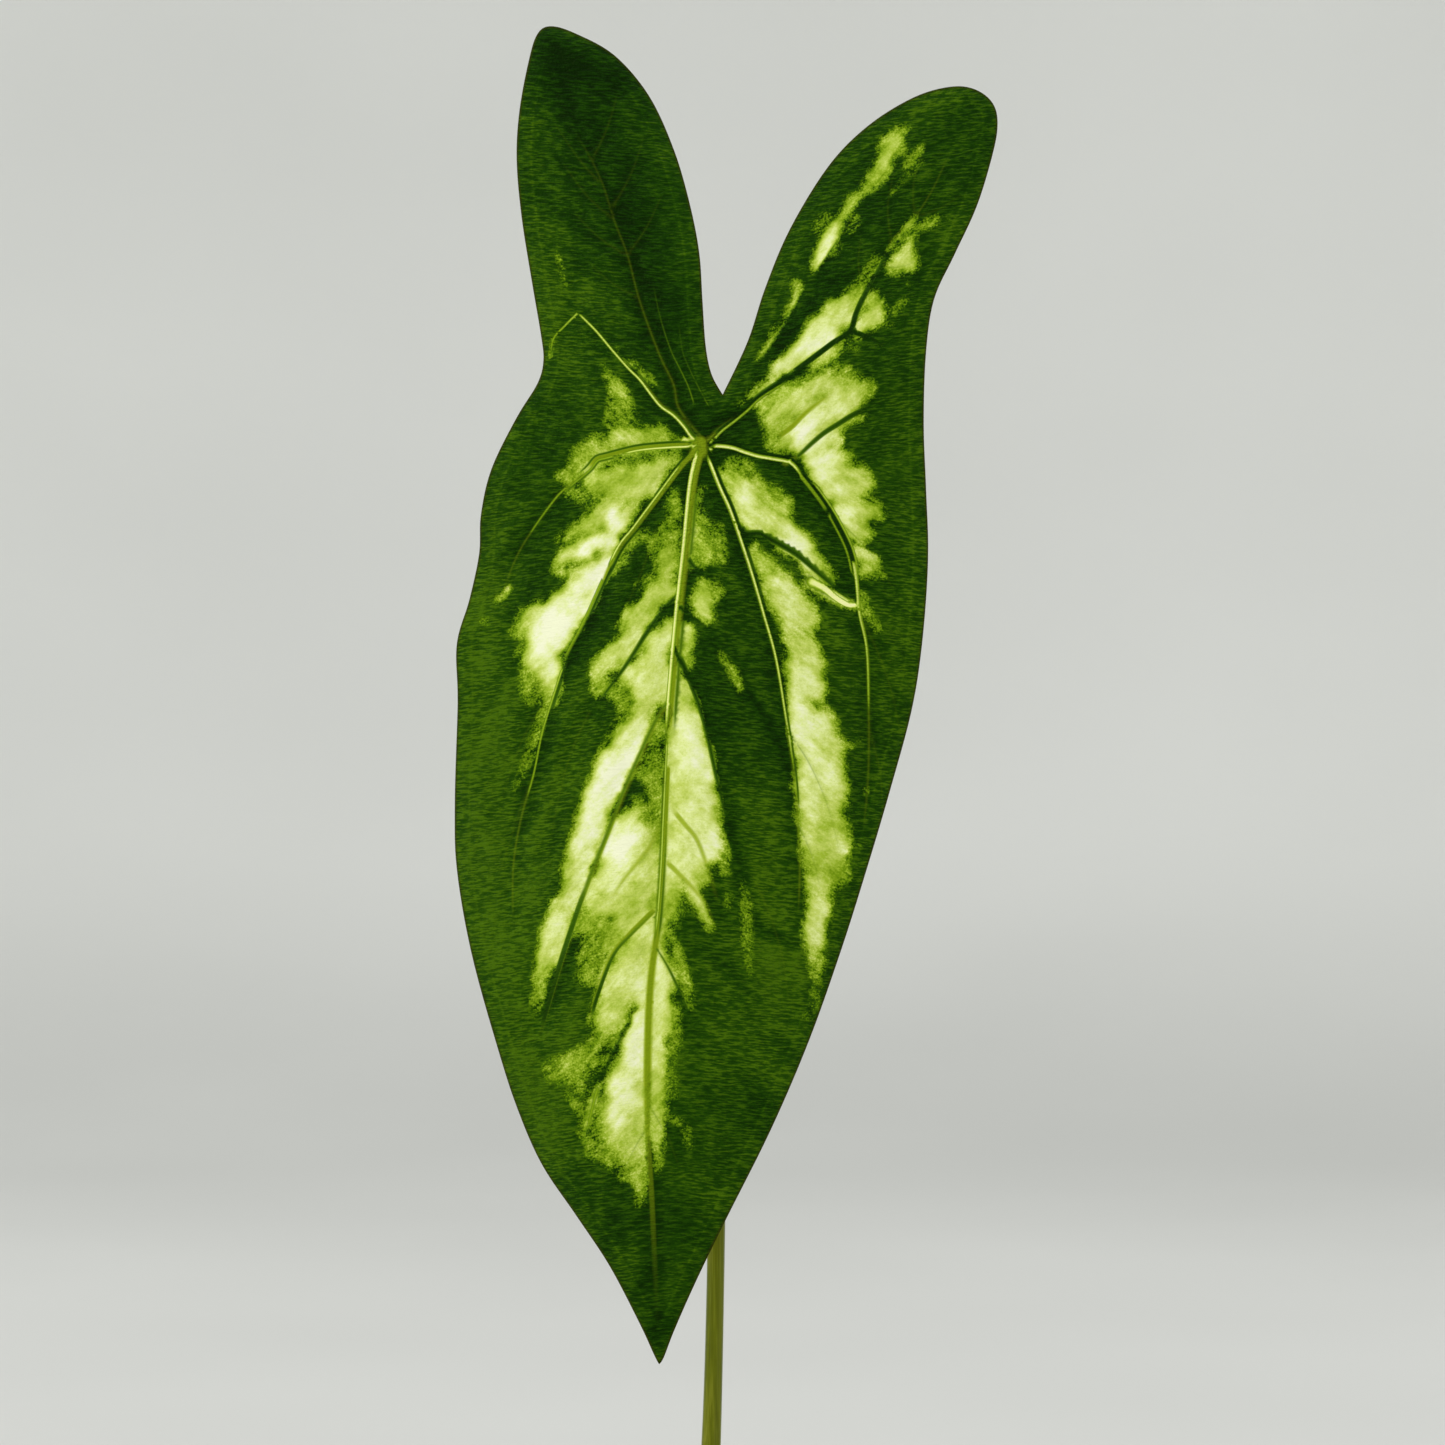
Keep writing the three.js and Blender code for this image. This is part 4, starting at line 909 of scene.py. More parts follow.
class Finish:
    """A material being put together: each call adds a node and gives back its output. `place` is
    where a point lies on the object, in metres."""

    def __init__(self, name, **shader):
        self.material = bpy.data.materials.new(name)
        self.material.use_nodes = True
        self.tree = self.material.node_tree
        self.shader = self.tree.nodes["Principled BSDF"]
        for socket, value in shader.items():
            self.shader.inputs[socket.replace("_", " ")].default_value = value
        self.place = self.node("ShaderNodeTexCoord").outputs["Object"]

    def node(self, kind, inputs=(), **settings):
        made = self.tree.nodes.new(kind)
        for key, value in settings.items():
            setattr(made, key, value)
        for socket, value in dict(inputs).items():
            self.connect(value, made.inputs[socket])
        return made

    def connect(self, value, socket):
        if isinstance(value, bpy.types.NodeSocket):
            self.tree.links.new(value, socket)
        else:
            socket.default_value = value

    def set(self, socket, value):
        self.connect(value, self.shader.inputs[socket])

    def attribute(self, name):
        return self.node("ShaderNodeAttribute", attribute_name=name).outputs["Fac"]

    def stretched(self, scale, turn=(0, 0, 0)):
        """The place, turned first and then stretched."""
        inputs = {"Vector": self.place, "Scale": [1 / s for s in scale], "Rotation": turn}
        return self.node("ShaderNodeMapping", inputs, vector_type="TEXTURE").outputs["Vector"]

    def noise(self, scale, detail=3, roughness=0.55, vector=None, distortion=0):
        inputs = {
            "Vector": vector or self.place,
            "Scale": scale,
            "Detail": detail,
            "Roughness": roughness,
            "Distortion": distortion,
        }
        return self.node("ShaderNodeTexNoise", inputs).outputs["Fac"]

    def cells(self, scale):
        inputs = {"Vector": self.place, "Scale": scale}
        return self.node("ShaderNodeTexVoronoi", inputs).outputs["Distance"]

    def math(self, operation, a, b=0.0):
        return self.node("ShaderNodeMath", {0: a, 1: b}, operation=operation).outputs[0]

    def blend(self, *parts, start=0.0):
        """The sum of (value, share) pairs."""
        total = start
        for value, share in parts:
            inputs = {0: value, 1: share, 2: total}
            total = self.node("ShaderNodeMath", inputs, operation="MULTIPLY_ADD").outputs[0]
        return total

    def spread(self, value, low, high, to_low=0.0, to_high=1.0):
        inputs = {"Value": value, "From Min": low, "From Max": high, "To Min": to_low, "To Max": to_high}
        return self.node("ShaderNodeMapRange", inputs, interpolation_type="SMOOTHSTEP").outputs[0]

    def ramp(self, value, *stops):
        """Colours along a value, each stop being (place, red, green, blue)."""
        made = self.node("ShaderNodeValToRGB", {"Fac": value})
        elements = made.color_ramp.elements
        while len(elements) < len(stops):
            elements.new(0.5)
        for element, (position, *shade) in zip(elements, stops):
            element.position = position
            element.color = colour(*shade)
        return made.outputs["Color"]

    def mix(self, share, a, b, blend="MIX"):
        made = self.node("ShaderNodeMix", data_type="RGBA", blend_type=blend)
        for value, socket in ((share, made.inputs[0]), (a, made.inputs[6]), (b, made.inputs[7])):
            self.connect(value, socket)
        return made.outputs[2]

    def height(self, part):
        """A coordinate of the place: 0, 1 or 2."""
        return self.node("ShaderNodeSeparateXYZ", {0: self.place}).outputs[part]

    def bump(self, height, distance, strength=1.0, under=None):
        inputs = {"Height": height, "Distance": distance, "Strength": strength}
        if under:
            inputs["Normal"] = under
        return self.node("ShaderNodeBump", inputs).outputs["Normal"]


def leaf_material():
    """Marbled blade: greens washed from dark to grass, cream marbling, vein lines and fine grain, with
    painted shade and highlights on the ribs, the grooves, the quilting and the wrinkles.
    """
    leaf = Finish(
        "taro_leaf_skin", Roughness=0.45, Specular_IOR_Level=0.2, Specular_Tint=(0.3, 0.55, 0.06, 1)
    )
    pale, green = leaf.attribute("pale"), leaf.attribute("green")
    on_right = leaf.spread(leaf.height(0), -22 * MM, 6 * MM)
    above = leaf.spread(leaf.height(2), HUB.z - 14 * MM, HUB.z + 3 * MM)
    side = leaf.math("ABSOLUTE", leaf.math("SUBTRACT", on_right, above))

    def sloping(size, left, right, detail=3):
        """Noise stretched away from the hub: down and outwards below it, up and outwards above."""
        turned = [leaf.stretched(size, (0, math.radians(slope), 0)) for slope in (-left, right)]
        return leaf.mix(side, *(leaf.noise(1, detail, vector=vector) for vector in turned))

    # Bands along the side veins: in the green they paint the light and shade of the quilting between the
    # veins, in the cream only a cloudy tone.
    bands = sloping((36, 36, 125), 50, 40)
    streaks = sloping((170, 170, 620), 50, 40)
    hairs = sloping((520, 520, 1900), 25, 20, 2)
    wrinkles = sloping((330, 330, 1900), 6, 4, 2)
    blotches = leaf.noise(300, 5, 0.7)
    clouds = leaf.noise(105, 4, 0.6)
    grit = leaf.noise(1700, 2, 0.7)
    ragged = leaf.blend((streaks, 0.15), (hairs, 0.2), (blotches, 0.3), (grit, 0.35), start=-0.5)
    # Feathered where the marbling ends, smooth and cloudy where it is palest.
    near_end, well_in = leaf.spread(pale, 0.0, 0.2, 0.0, 2.4), leaf.spread(pale, 0.3, 0.7, 1, 0.25)
    feather = leaf.math("MULTIPLY", near_end, well_in)
    depth = leaf.spread(pale, 0.08, 0.45, 0.0, 1.0)
    cloudy = leaf.blend((clouds, 0.85), (bands, 0.45), (streaks, 0.24), start=-0.795)
    marbled = leaf.blend((ragged, feather), (cloudy, depth), start=pale)
    # Painted light and shade in the green: the bands stand for the quilted tissue between the side veins,
    # and the dashes darken and lighten it along the fine wrinkles that the bump also raises, over the leaf's
    # own grain.
    dashes = leaf.spread(wrinkles, 0.38, 0.66)
    shade = leaf.blend((ragged, 0.42), (bands, 0.75), (dashes, 0.5), (clouds, 0.4), start=-0.775)
    shade = leaf.math("ADD", green, shade)
    greens = leaf.ramp(
        shade,
        (0.0, 2, 27, 1), (0.3, 12, 47, 2), (0.55, 27, 65, 3), (0.8, 50, 86, 5), (1.0, 72, 108, 9),
    )
    creams = leaf.ramp(
        marbled,
        (0.06, 50, 86, 5), (0.22, 86, 124, 8), (0.37, 126, 158, 22), (0.51, 166, 192, 56),
        (0.67, 204, 220, 106), (0.82, 234, 245, 162), (1.0, 253, 255, 220),
    )
    skin = leaf.mix(leaf.spread(marbled, 0.06, 0.24), greens, creams)
    # An olive line turns the cream to lime before it covers it.
    olive = leaf.attribute("olive_line")
    glaze = leaf.ramp(olive, (0.1, 206, 222, 92), (0.5, 164, 186, 36), (0.9, 124, 148, 16))
    skin = leaf.mix(leaf.spread(olive, 0.0, 0.35), skin, glaze, "DARKEN")
    skin = leaf.mix(olive, skin, colour(124, 148, 16))
    # A dark line stays green where it crosses the cream; on a rib's flank it is painted shade.
    dark = leaf.attribute("dark_line_and_shade")
    vein_green_and_shade = leaf.ramp(dark, (0.1, 110, 144, 20), (0.5, 56, 94, 8), (0.9, 14, 46, 3))
    skin = leaf.mix(leaf.spread(dark, 0.0, 0.35), skin, vein_green_and_shade, "DARKEN")
    # A light line is lime along its edges and where it is faint, and cream at its middle; on a rib's flank
    # it is a painted highlight.
    light = leaf.attribute("light_line_and_highlight")
    streak = leaf.ramp(
        light,
        (0.1, 70, 108, 6), (0.4, 140, 172, 24), (0.7, 222, 238, 112), (1.0, 255, 255, 186),
    )
    skin = leaf.mix(leaf.spread(light, 0.0, 0.28), skin, streak)
    rim = leaf.spread(leaf.attribute("margin"), 0.25, 0.9, 1, 0)
    skin = leaf.mix(leaf.math("MULTIPLY", rim, 0.7), skin, colour(52, 52, 8))
    # The underside is duller and greyer, and its ribs are paler than the flesh between them.
    dull = leaf.mix(0.62, skin, colour(104, 132, 66))
    ribs = leaf.spread(leaf.attribute("ridge"), 0.12, 0.75)
    dull = leaf.mix(leaf.math("MULTIPLY", ribs, 0.85), dull, colour(154, 170, 84))
    behind = leaf.spread(leaf.attribute("behind"), 0.4, 0.6)
    leaf.set("Base Color", leaf.mix(behind, skin, dull))
    leaf.set("Roughness", leaf.spread(blotches, 0.3, 0.7, 0.36, 0.52))
    calmer = leaf.spread(pale, 0.1, 0.5, 1.0, 0.25)
    grain = leaf.math("MULTIPLY", leaf.blend((wrinkles, 1.0), (leaf.cells(1300), 0.25)), calmer)
    leaf.set("Normal", leaf.bump(grain, 1.1 * MM, 0.8))
    return leaf.material


def stalk_material():
    stalk = Finish(
        "taro_stalk_skin", Roughness=0.4, Specular_IOR_Level=0.4, Specular_Tint=(0.7, 0.75, 0.3, 1)
    )
    lines = stalk.noise(1, 4, 0.6, vector=stalk.stretched((1500, 1500, 22)))
    patches = stalk.noise(1, 3, vector=stalk.stretched((160, 160, 30)))
    skin = stalk.ramp(
        stalk.blend((lines, 0.6), (patches, 0.4)),
        (0.3, 72, 80, 2), (0.5, 100, 108, 6), (0.7, 134, 138, 36),
    )
    low = stalk.spread(stalk.height(2), SOIL_TOP, SOIL_TOP + 0.09, 1, 0)
    skin = stalk.mix(stalk.math("MULTIPLY", low, 0.7), skin, colour(150, 150, 92))
    blush = stalk.spread(stalk.noise(1, 3, vector=stalk.stretched((300, 300, 60))), 0.5, 0.75)
    skin = stalk.mix(stalk.math("MULTIPLY", blush, low), skin, colour(104, 62, 44))
    stalk.set("Base Color", skin)
    stalk.set("Roughness", stalk.spread(patches, 0.3, 0.7, 0.34, 0.5))
    stalk.set("Normal", stalk.bump(lines, 0.4 * MM, 0.5))
    return stalk.material


def corm_material():
    corm = Finish("corm_bark", Roughness=0.9, Specular_IOR_Level=0.2)
    rings = corm.noise(1, 4, 0.65, vector=corm.stretched((60, 60, 900)))
    fibres = corm.noise(1, 4, 0.7, vector=corm.stretched((900, 900, 120)))
    mixed = corm.blend((rings, 0.5), (fibres, 0.5))
    skin = corm.ramp(
        mixed,
        (0.34, 38, 24, 15), (0.48, 82, 56, 37), (0.6, 118, 86, 58), (0.72, 152, 120, 86),
    )
    corm.set("Base Color", skin)
    corm.set("Normal", corm.bump(mixed, 1.2 * MM, 0.8))
    return corm.material


def fibre_material():
    husk = Finish("dry_husk", Roughness=0.85, Specular_IOR_Level=0.2)
    lines = husk.noise(1, 3, vector=husk.stretched((900, 900, 160)))
    skin = husk.ramp(lines, (0.3, 84, 58, 36), (0.52, 134, 100, 66), (0.7, 176, 144, 102))
    husk.set("Base Color", skin)
    husk.set("Normal", husk.bump(lines, 0.4 * MM, 0.6))
    return husk.material


def root_material():
    root = Finish("root_skin", Roughness=0.75, Specular_IOR_Level=0.25)
    lines = root.noise(420, 4, 0.6)
    skin = root.ramp(lines, (0.3, 150, 128, 98), (0.55, 206, 192, 160), (0.75, 230, 220, 196))
    root.set("Base Color", skin)
    root.set("Normal", root.bump(lines, 0.3 * MM, 0.6))
    return root.material


def soil_material():
    soil = Finish("potting_mix", Roughness=0.95, Specular_IOR_Level=0.15)
    lumps, grit = soil.noise(260, 5, 0.7), soil.noise(1400, 3, 0.7)
    mixed = soil.blend((lumps, 0.6), (grit, 0.4))
    skin = soil.ramp(
        mixed,
        (0.32, 18, 12, 9), (0.48, 42, 30, 22), (0.6, 66, 48, 35), (0.74, 104, 80, 58),
    )
    soil.set("Base Color", skin)
    soil.set("Normal", soil.bump(mixed, 2 * MM, 0.9))
    return soil.material


def perlite_material():
    perlite = Finish("perlite", Roughness=0.85, Specular_IOR_Level=0.3)
    foam = perlite.noise(1600, 4, 0.7)
    skin = perlite.ramp(foam, (0.3, 168, 160, 146), (0.5, 222, 218, 208), (0.7, 244, 242, 236))
    perlite.set("Base Color", skin)
    perlite.set("Normal", perlite.bump(foam, 0.6 * MM, 0.8))
    return perlite.material


def bark_material():
    bark = Finish("bark_chip", Roughness=0.9, Specular_IOR_Level=0.2)
    fibres = bark.noise(1, 4, 0.65, vector=bark.stretched((300, 1100, 1100)))
    skin = bark.ramp(fibres, (0.32, 46, 26, 15), (0.5, 96, 60, 36), (0.7, 150, 104, 66))
    bark.set("Base Color", skin)
    bark.set("Normal", bark.bump(fibres, 0.8 * MM, 0.8))
    return bark.material


def clay_material():
    """Unglazed clay: warm brick red, grains and pits, pale mineral bloom low down and at the rim."""
    clay = Finish("fired_clay", Roughness=0.88, Specular_IOR_Level=0.25)
    clouds = clay.noise(16, 4, 0.6)
    wipes = clay.noise(1, 4, 0.6, vector=clay.stretched((14, 14, 240)))
    tone = clay.blend((clouds, 0.6), (wipes, 0.4))
    body = clay.ramp(
        tone,
        (0.3, 150, 76, 46), (0.48, 178, 98, 62), (0.62, 194, 116, 76), (0.78, 210, 140, 100),
    )
    speckle = clay.spread(clay.noise(900, 2, 0.6), 0.6, 0.74)
    body = clay.mix(clay.math("MULTIPLY", speckle, 0.5), body, colour(120, 62, 40))
    light_specks = clay.spread(clay.noise(1300, 1), 0.66, 0.76)
    body = clay.mix(clay.math("MULTIPLY", light_specks, 0.55), body, colour(226, 184, 150))
    bloom_noise = clay.noise(38, 6, 0.68, distortion=0.8)
    foot = clay.spread(clay.height(2), 0.0, 0.085, 0.3, 0)
    under_rim = clay.spread(clay.height(2), 0.1, 0.138, 0, 0.16)
    bloom = clay.math("ADD", bloom_noise, clay.math("ADD", foot, under_rim))
    bloom = clay.spread(bloom, 0.6, 0.86)
    body = clay.mix(clay.math("MULTIPLY", bloom, 0.48), body, colour(222, 206, 186))
    damp = clay.spread(clay.noise(24, 4), 0.5, 0.62)
    body = clay.mix(clay.math("MULTIPLY", damp, 0.16), body, colour(110, 60, 42))
    clay.set("Base Color", body)
    clay.set("Roughness", clay.spread(bloom_noise, 0.3, 0.7, 0.8, 0.95))
    rings = clay.noise(1, 3, vector=clay.stretched((4, 4, 420)))
    pits = clay.spread(clay.cells(420), 0.0, 0.22)
    grain = clay.noise(2000, 3, 0.7)
    rough = clay.bump(pits, 0.3 * MM, 0.35, clay.bump(rings, 0.7 * MM, 0.5))
    clay.set("Normal", clay.bump(grain, 0.4 * MM, 0.5, rough))
    return clay.material


def backdrop_material():
    paper = Finish("studio_paper", Roughness=0.95, Specular_IOR_Level=0.1)
    tone = paper.noise(1.2, 2)
    # Painted light: the floor is painted darker and the wall lighter, making up for the floor getting more
    # light than the wall.
    floor = paper.ramp(tone, (0.3, 209, 210, 207), (0.7, 215, 216, 213))
    wall = paper.ramp(tone, (0.3, 240, 241, 238), (0.7, 245, 246, 243))
    paper.set("Base Color", paper.mix(paper.spread(paper.height(2), -0.1, 0.35), floor, wall))
    return paper.material


# ---- Stalk ----
def stalk_stations():
    """Places, directions, radii and lengths so far, from inside the corm up to the hub."""
    hub_y = HUB.y / MM
    # Millimetres to the right and behind, and the share of the way from the soil up to the hub.
    bends = [
        (0.6, 3, 0.15), (2.8, 7, 0.288), (4.2, 8, 0.45), (5.4, 7, 0.67), (4.2, 2, 0.86),
        (2, hub_y + 21, 0.955), (0.4, hub_y + 9, 0.992), (0, hub_y + 1.2, 1),
    ]
    rise = HUB.z - SOIL_EDGE
    route = [(0, 0, CORM_HIGH.z - 4.5 * MM)]
    route += [(x * MM, y * MM, SOIL_EDGE + share * rise) for x, y, share in bends]
    fine = along_spline(route, 24)
    lengths = np.r_[0, np.cumsum(np.linalg.norm(np.diff(fine, axis=0), axis=1))]
    stops = np.linspace(0, lengths[-1], 190)
    centres = np.array([np.interp(stops, lengths, fine[:, k]) for k in range(3)]).T
    directions = np.gradient(centres, axis=0)
    for centre, direction, travelled in zip(centres, directions, stops):
        sheath = SHEATH_OUT * math.exp(-travelled / SHEATH_TALL)
        collar = 1.1 * MM * math.exp(-(lengths[-1] - travelled) / (5 * MM))
        yield Vector(centre), Vector(direction).normalized(), STALK_RADIUS + sheath + collar, travelled


def make_stalk():
    bm = bmesh.new()
    stations = list(stalk_stations())
    travelled = [s[3] for s in stations]

    def clasp(verts, centre, side, direction, radius, index):
        """Low down the stalk is a rolled sheath with a groove; higher up it is faintly ribbed."""
        opening = math.exp(-((travelled[index] / (70 * MM)) ** 2))
        other = direction.cross(side)
        for vert in verts:
            out = vert.co - centre
            angle = math.atan2(out.dot(other), out.dot(side))
            away = math.atan2(math.sin(angle + 1.1), math.cos(angle + 1.1))
            groove = -0.34 * math.exp(-((away / 0.2) ** 2))
            lips = 0.1 * math.exp(-(((abs(away) - 0.5) / 0.22) ** 2))
            ribs = 0.018 * math.sin(9 * angle)
            vert.co = centre + out * (1 + (groove + lips) * opening + ribs)

    rings_along(bm, [s[:3] for s in stations], 40, clasp)
    return finish_piece(bm, "leaf_stalk", stalk_material(), "petiole")


# ---- Corm ----
def corm_radius(share):
    round_part = (1 - abs(2 * share - 1) ** CORM_BLUNTNESS) ** (1 / CORM_BLUNTNESS)
    return CORM_RADIUS * round_part * (1 - CORM_NARROWING * share)


def make_corm():
    bm = bmesh.new()
    steps = 90
    shares = [(1 - math.cos(math.pi * i / steps)) / 2 for i in range(steps + 1)]
    turn_profile(bm, [(corm_radius(s), CORM_LOW.z + CORM_TALL * s) for s in shares], 96)
    for vert in bm.verts:
        out = Vector((vert.co.x - AXIS.x, vert.co.y - AXIS.y, 0))
        radius = out.length
        if radius < 1e-5:
            continue
        angle = math.atan2(out.y, out.x)
        scars = 0.45 * math.sin(vert.co.z / (1.15 * MM) + 1.5 * noise.noise(vert.co * 60))
        lumps = 1.1 * noise.noise(vert.co * 90) + 0.4 * noise.noise(vert.co * 320)
        ridges = 0.25 * math.sin(11 * angle + 3 * noise.noise(vert.co * 50))
        vert.co += out.normalized() * (scars + lumps + ridges) * MM * min(1, radius / (8 * MM))
    return finish_piece(bm, "corm_body", corm_material(), "corm")


def make_fibres():
    """Dry remains of old leaf bases, standing round the stalk's foot."""
    bm = bmesh.new()
    for _ in range(46):
        angle = random.uniform(0, 2 * math.pi)
        out = Vector((math.cos(angle), math.sin(angle), 0))
        foot_share = random.uniform(0.8, 0.9)
        height = CORM_LOW.z + CORM_TALL * foot_share
        start = AXIS.copy()
        start.z = height
        start += out * (corm_radius(foot_share) - 0.8 * MM)
        long = random.uniform(5, 11) * MM
        lean = random.uniform(-0.1, 0.55)
        sway = out.cross(Vector((0, 0, 1))) * random.uniform(-0.5, 0.5)
        stations = []
        for k in range(5):
            t = k / 4
            centre = start + Vector((0, 0, long * t)) + out * lean * long * t * t + sway * long * t * t
            direction = Vector((0, 0, 1)) + (out * lean + sway) * 2 * t
            stations.append((centre, direction.normalized(), (0.75 - 0.6 * t) * MM))
        rings_along(bm, stations, 5)
    return finish_piece(bm, "corm_fibres", fibre_material(), None)


# ---- Pot ----
def outside(z):
    return FOOT_RADIUS + (MOUTH_RADIUS - FOOT_RADIUS) * z / POT_TALL


def inside(z):
    return outside(z) - WALL


def quarter(centre, radius, start, steps=7):
    """A quarter circle of (radius, height) points, anticlockwise from the angle start."""
    angles = [math.radians(start + 90 * k / steps) for k in range(steps + 1)]
    return [(centre[0] + radius * math.cos(a), centre[1] + radius * math.sin(a)) for a in angles]


def straight(start, end, steps):
    return [
        (start[0] + (end[0] - start[0]) * k / steps, start[1] + (end[1] - start[1]) * k / steps)
        for k in range(1, steps)
    ]


def pot_profile():
    rim_foot = POT_TALL - RIM_TALL
    lip, small = 3 * MM, 1.6 * MM
    inner = inside(POT_TALL)
    toe, drain_edge = 2.6 * MM, 1.5 * MM
    foot = quarter((outside(0) - toe, toe), toe, -90)
    under_rim = quarter((RIM_OUT - small, rim_foot + small), small, -90)
    over = quarter((RIM_OUT - lip, POT_TALL - lip), lip, 0)
    back = quarter((inner + lip, POT_TALL - lip), lip, 90)
    floor_edge = (inside(FLOOR) - POT_CORNER, FLOOR)
    hole_top = quarter((DRAIN + drain_edge, FLOOR - drain_edge), drain_edge, 90)
    hole_low = quarter((DRAIN + drain_edge, drain_edge), drain_edge, 180)
    tuck = (outside(rim_foot), rim_foot - 0.4 * MM)
    line = foot + straight(foot[-1], tuck, 30) + [tuck, (tuck[0] + 0.8 * MM, rim_foot)]
    line += under_rim + straight(under_rim[-1], over[0], 10) + over + back
    wall_foot = (inside(FLOOR + POT_CORNER), FLOOR + POT_CORNER)
    line += straight(back[-1], wall_foot, 26) + [wall_foot, floor_edge]
    line += straight(floor_edge, hole_top[0], 8) + hole_top + hole_low
    return line + straight(hole_low[-1], foot[0], 8) + [foot[0]]


def make_pot():
    bm = bmesh.new()
    turn_profile(bm, [(r, POT_LOW.z + z) for r, z in pot_profile()], 168)
    for vert in bm.verts:
        out = Vector((vert.co.x - AXIS.x, vert.co.y - AXIS.y, 0))
        if vert.co.z < POT_LOW.z + 3 * MM or out.length < 1.6 * DRAIN:
            continue
        wobble = 0.45 * noise.noise(vert.co * 14) + 0.14 * noise.noise(vert.co * 70)
        turning = 0.07 * math.sin(vert.co.z / (0.9 * MM) + noise.noise(vert.co * 20))
        vert.co += out.normalized() * (wobble + turning - 0.2) * MM
    return finish_piece(bm, "clay_pot", clay_material(), "pot")


# ---- Soil ----
def soil_surface(x, y):
    """How high the soil stands at a place: crowned, cloddy, and level near the wall."""
    out = math.hypot(x - AXIS.x, y - AXIS.y) / (inside(SOIL_EDGE) - GAP)
    crown = SOIL_CROWN / MM * max(0, 1 - out) ** 1.5
    clods = 1.5 * noise.noise((x * 110, y * 110, 2.2)) + 0.8 * noise.noise((x * 290, y * 290, 7.1))
    fine = 0.35 * noise.noise((x * 700, y * 700, 4.4))
    return SOIL_EDGE + (crown + (clods + fine) * min(1, (1.02 - out) * 12 + 0.35) - 0.7) * MM


def make_soil():
    bm = bmesh.new()
    wall_top = inside(SOIL_EDGE) - GAP
    low, corner, shoulder = FLOOR + GAP, FLOOR + POT_CORNER, SOIL_EDGE - 6 * MM
    rows = 64
    collar = corm_radius((SOIL_EDGE + 2 * MM - CORM_LOW.z) / CORM_TALL) + 0.6 * MM
    profile = [(0, low), (inside(FLOOR) - POT_CORNER - GAP, low)]
    profile += [(inside(corner) - GAP, corner + GAP), (inside(shoulder) - GAP, shoulder)]
    profile += [(wall_top + (collar - wall_top) * k / rows, SOIL_EDGE) for k in range(rows + 1)]
    # The soil wraps the corm with a little room.
    shares = [0.7, 0.6, 0.5, 0.4, 0.3, 0.2, 0.1, 0.04]
    profile += [(corm_radius(s) + 1.6 * MM, CORM_LOW.z + CORM_TALL * s) for s in shares]
    profile += [(0, CORM_LOW.z - 1.4 * MM)]
    turn_profile(bm, profile, 200)
    for vert in bm.verts:
        if abs(vert.co.z - SOIL_EDGE) < 1e-6:
            vert.co.z = soil_surface(vert.co.x, vert.co.y)
    return finish_piece(bm, "potting_mix", soil_material(), "soil")


def scattered(count, margin):
    """Places on the soil between the corm and the wall, with the surface's height."""
    inner = corm_radius(0.78) + margin
    outer = inside(SOIL_EDGE) - margin - 1 * MM
    for _ in range(count):
        radius = math.sqrt(random.uniform(inner**2, outer**2))
        angle = random.uniform(0, 2 * math.pi)
        x, y = AXIS.x + radius * math.cos(angle), AXIS.y + radius * math.sin(angle)
        yield Vector((x, y, soil_surface(x, y)))


def rough_lump(bm, place, size, flat, detail):
    """An uneven lump, turned and tilted by chance, and flattened by the share `flat`."""
    turn = Matrix.Rotation(random.uniform(0, 6.28), 4, "Z")
    turn = turn @ Matrix.Rotation(random.uniform(-0.5, 0.5), 4, "X")
    shape = Matrix.Diagonal((1, random.uniform(0.6, 1), flat, 1))
    matrix = Matrix.Translation(place) @ turn @ shape
    made = bmesh.ops.create_icosphere(bm, subdivisions=detail, radius=size, matrix=matrix)
    for vert in made["verts"]:
        away = vert.co - place
        vert.co = place + away * random.uniform(0.78, 1.18)


def make_crumbs():
    bm = bmesh.new()
    for place in scattered(1500, 1 * MM):
        size = random.uniform(0.5, 1.0) ** 2 * 2.1 * MM
        rough_lump(bm, place + Vector((0, 0, 0.25 * size)), size, random.uniform(0.6, 0.95), 1)
    return finish_piece(bm, "soil_crumbs", soil_material(), None, smooth=False)


def make_perlite():
    bm = bmesh.new()
    for place in scattered(120, 2 * MM):
        size = random.uniform(0.7, 1.7) * MM
        rough_lump(bm, place + Vector((0, 0, 0.3 * size)), size, random.uniform(0.7, 1), 2)
    return finish_piece(bm, "perlite_grains", perlite_material(), None)


def make_bark():
    bm = bmesh.new()
    for place in scattered(90, 4 * MM):
        size = Vector((random.uniform(3, 8), random.uniform(1.4, 3), random.uniform(0.5, 1.1))) * MM
        tilt = Matrix.Rotation(random.uniform(-0.35, 0.35), 4, "Y")
        turn = Matrix.Rotation(random.uniform(0, 6.28), 4, "Z") @ tilt
        matrix = Matrix.Translation(place + Vector((0, 0, 0.4 * MM))) @ turn @ Matrix.Diagonal((*size, 1))
        made = bmesh.ops.create_cube(bm, size=1, matrix=matrix)
        for vert in made["verts"]:
            vert.co += Vector([random.uniform(-0.35, 0.35) * MM for _ in range(3)])
        edges = list({e for v in made["verts"] for e in v.link_edges})
        bmesh.ops.bevel(
            bm, geom=edges, offset=0.2 * MM, segments=2, profile=0.5, affect="EDGES", material=-1
        )
    return finish_piece(bm, "bark_chips", bark_material(), None)


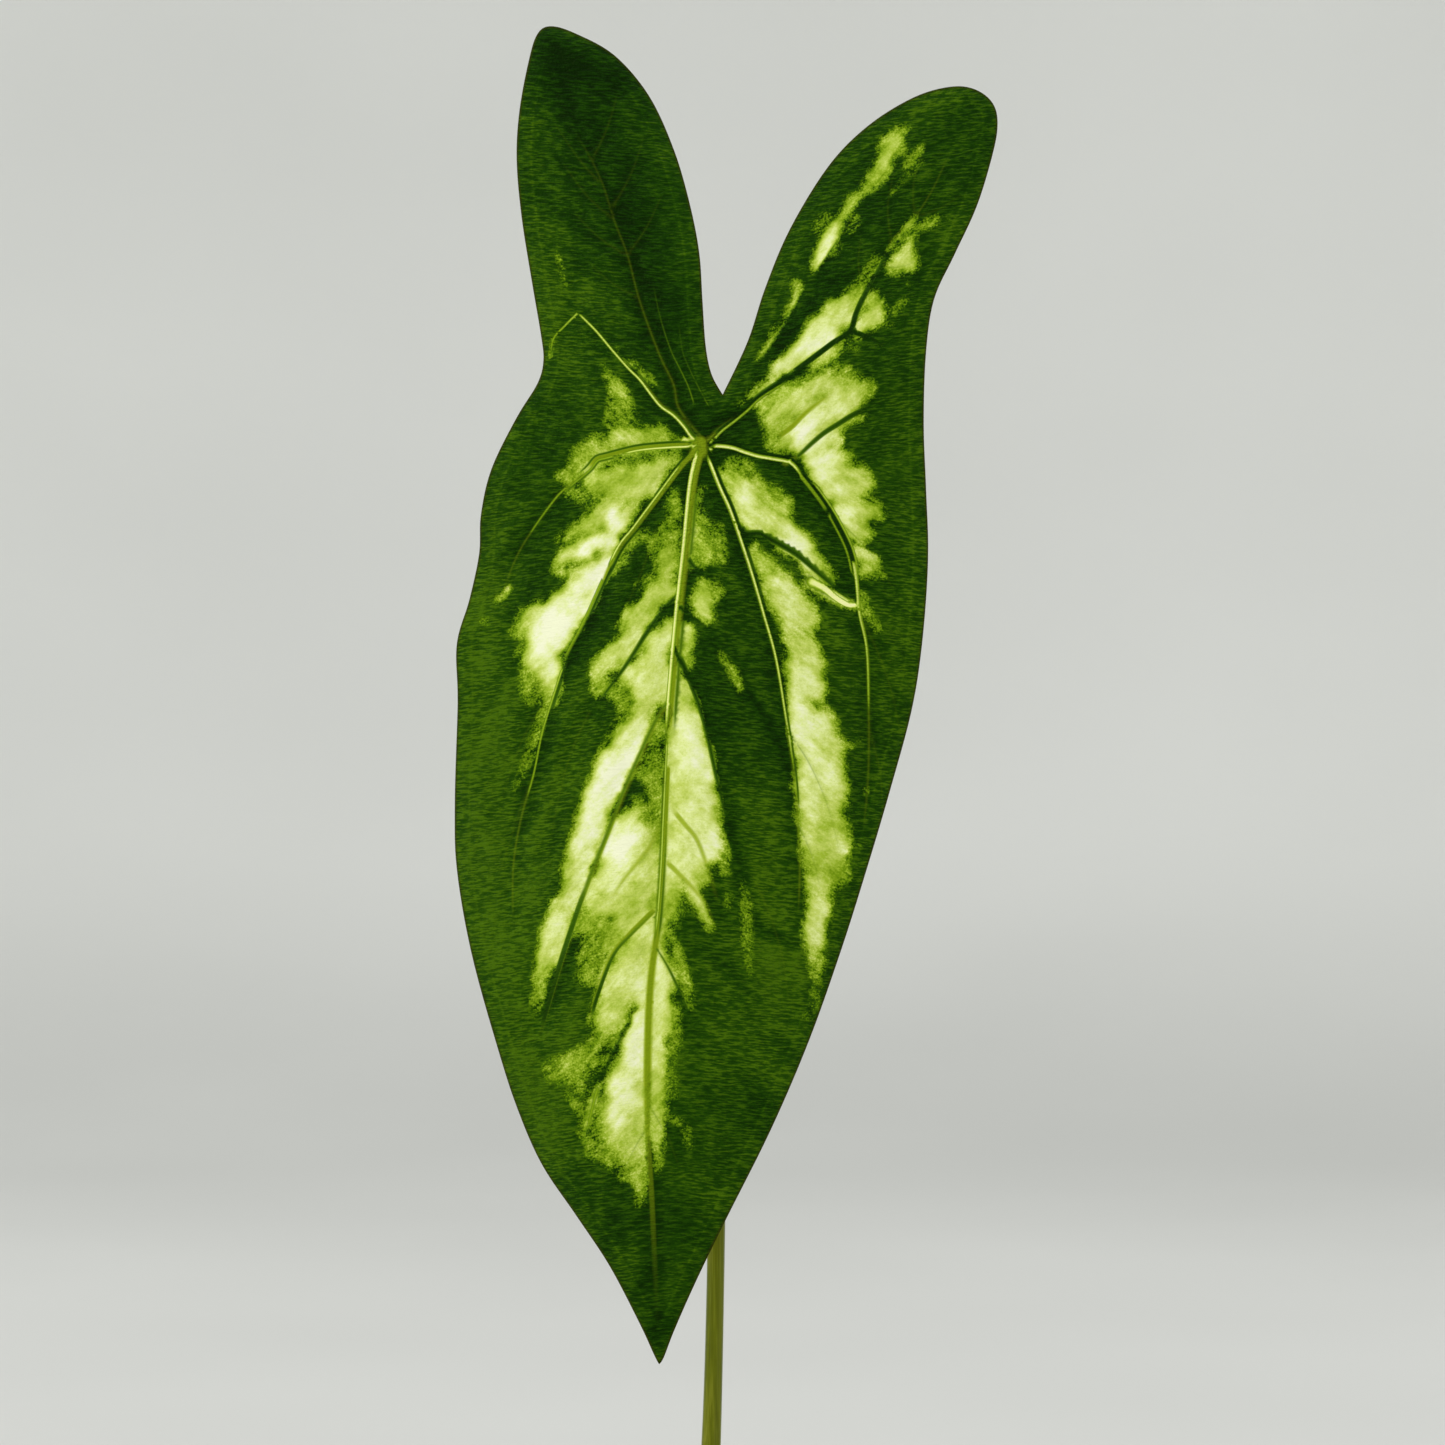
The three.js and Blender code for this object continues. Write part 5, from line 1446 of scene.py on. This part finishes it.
# ---- Studio ----
def make_backdrop():
    """A wide round floor that curves up into a low wall all the way round."""
    bm = bmesh.new()
    flat, rise, steps = 3.0, 2.4, 24
    bend = [
        (flat + rise * math.sin(a), rise * (1 - math.cos(a)))
        for a in (math.pi / 2 * k / steps for k in range(steps + 1))
    ]
    low = POT_LOW.z - GAP
    turn_profile(bm, [(r, low + z) for r, z in [(0, 0), (flat / 2, 0), *bend]], 96)
    add_mesh(bm, "studio_floor", backdrop_material())


LIT_PLACE = Vector((0, 0, 0.42))  # what the lights point at, in the lower part of the blade


def area_light(name, place, size, power, tint=(1, 1, 1)):
    light = bpy.data.lights.new(name, "AREA")
    light.shape = "DISK"
    light.size = size
    light.energy = power
    light.color = tint
    lamp = add_object(name, light)
    lamp.location = place
    lamp.rotation_euler = (LIT_PLACE - Vector(place)).to_track_quat("-Z", "Y").to_euler()


def set_lights():
    area_light("key_upper_left", (-1.9, -1.3, 1.9), 1.0, 30, (1, 0.99, 0.97))
    area_light("fill_right", (2.2, -1.6, 1.2), 2.0, 7)
    area_light("back_left", (-1.6, 2.2, 1.9), 1.6, 12)
    area_light("back_right", (1.8, 2.0, 1.4), 1.6, 10)
    world = bpy.data.worlds.new("studio_air")
    world.use_nodes = True
    air = world.node_tree.nodes["Background"]
    air.inputs["Color"].default_value = colour(236, 237, 235)
    air.inputs["Strength"].default_value = 0.78
    bpy.context.scene.world = world


CAMERA_PLACE = (5.85 * MM, -1239.17 * MM, 477.35 * MM)  # level with the middle of the blade


def set_camera():
    camera = bpy.data.cameras.new("camera")
    camera.lens = 100
    camera.sensor_width = 36
    camera.clip_end = 60
    holder = add_object("camera", camera)
    holder.location = CAMERA_PLACE
    holder.rotation_euler = (math.radians(90), 0, 0)
    bpy.context.scene.camera = holder


def paint_roots():
    """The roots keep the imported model's meshes, inside the soil, and get a finish."""
    skin = root_material()
    for name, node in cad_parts.items():
        if name.startswith("root_"):
            node.data.materials.clear()
            node.data.materials.append(skin)


set_camera()
set_lights()
make_backdrop()
make_leaf()
make_stalk()
make_corm()
make_fibres()
make_pot()
make_soil()
make_crumbs()
make_perlite()
make_bark()
paint_roots()
bpy.context.scene.view_settings.view_transform = "Standard"
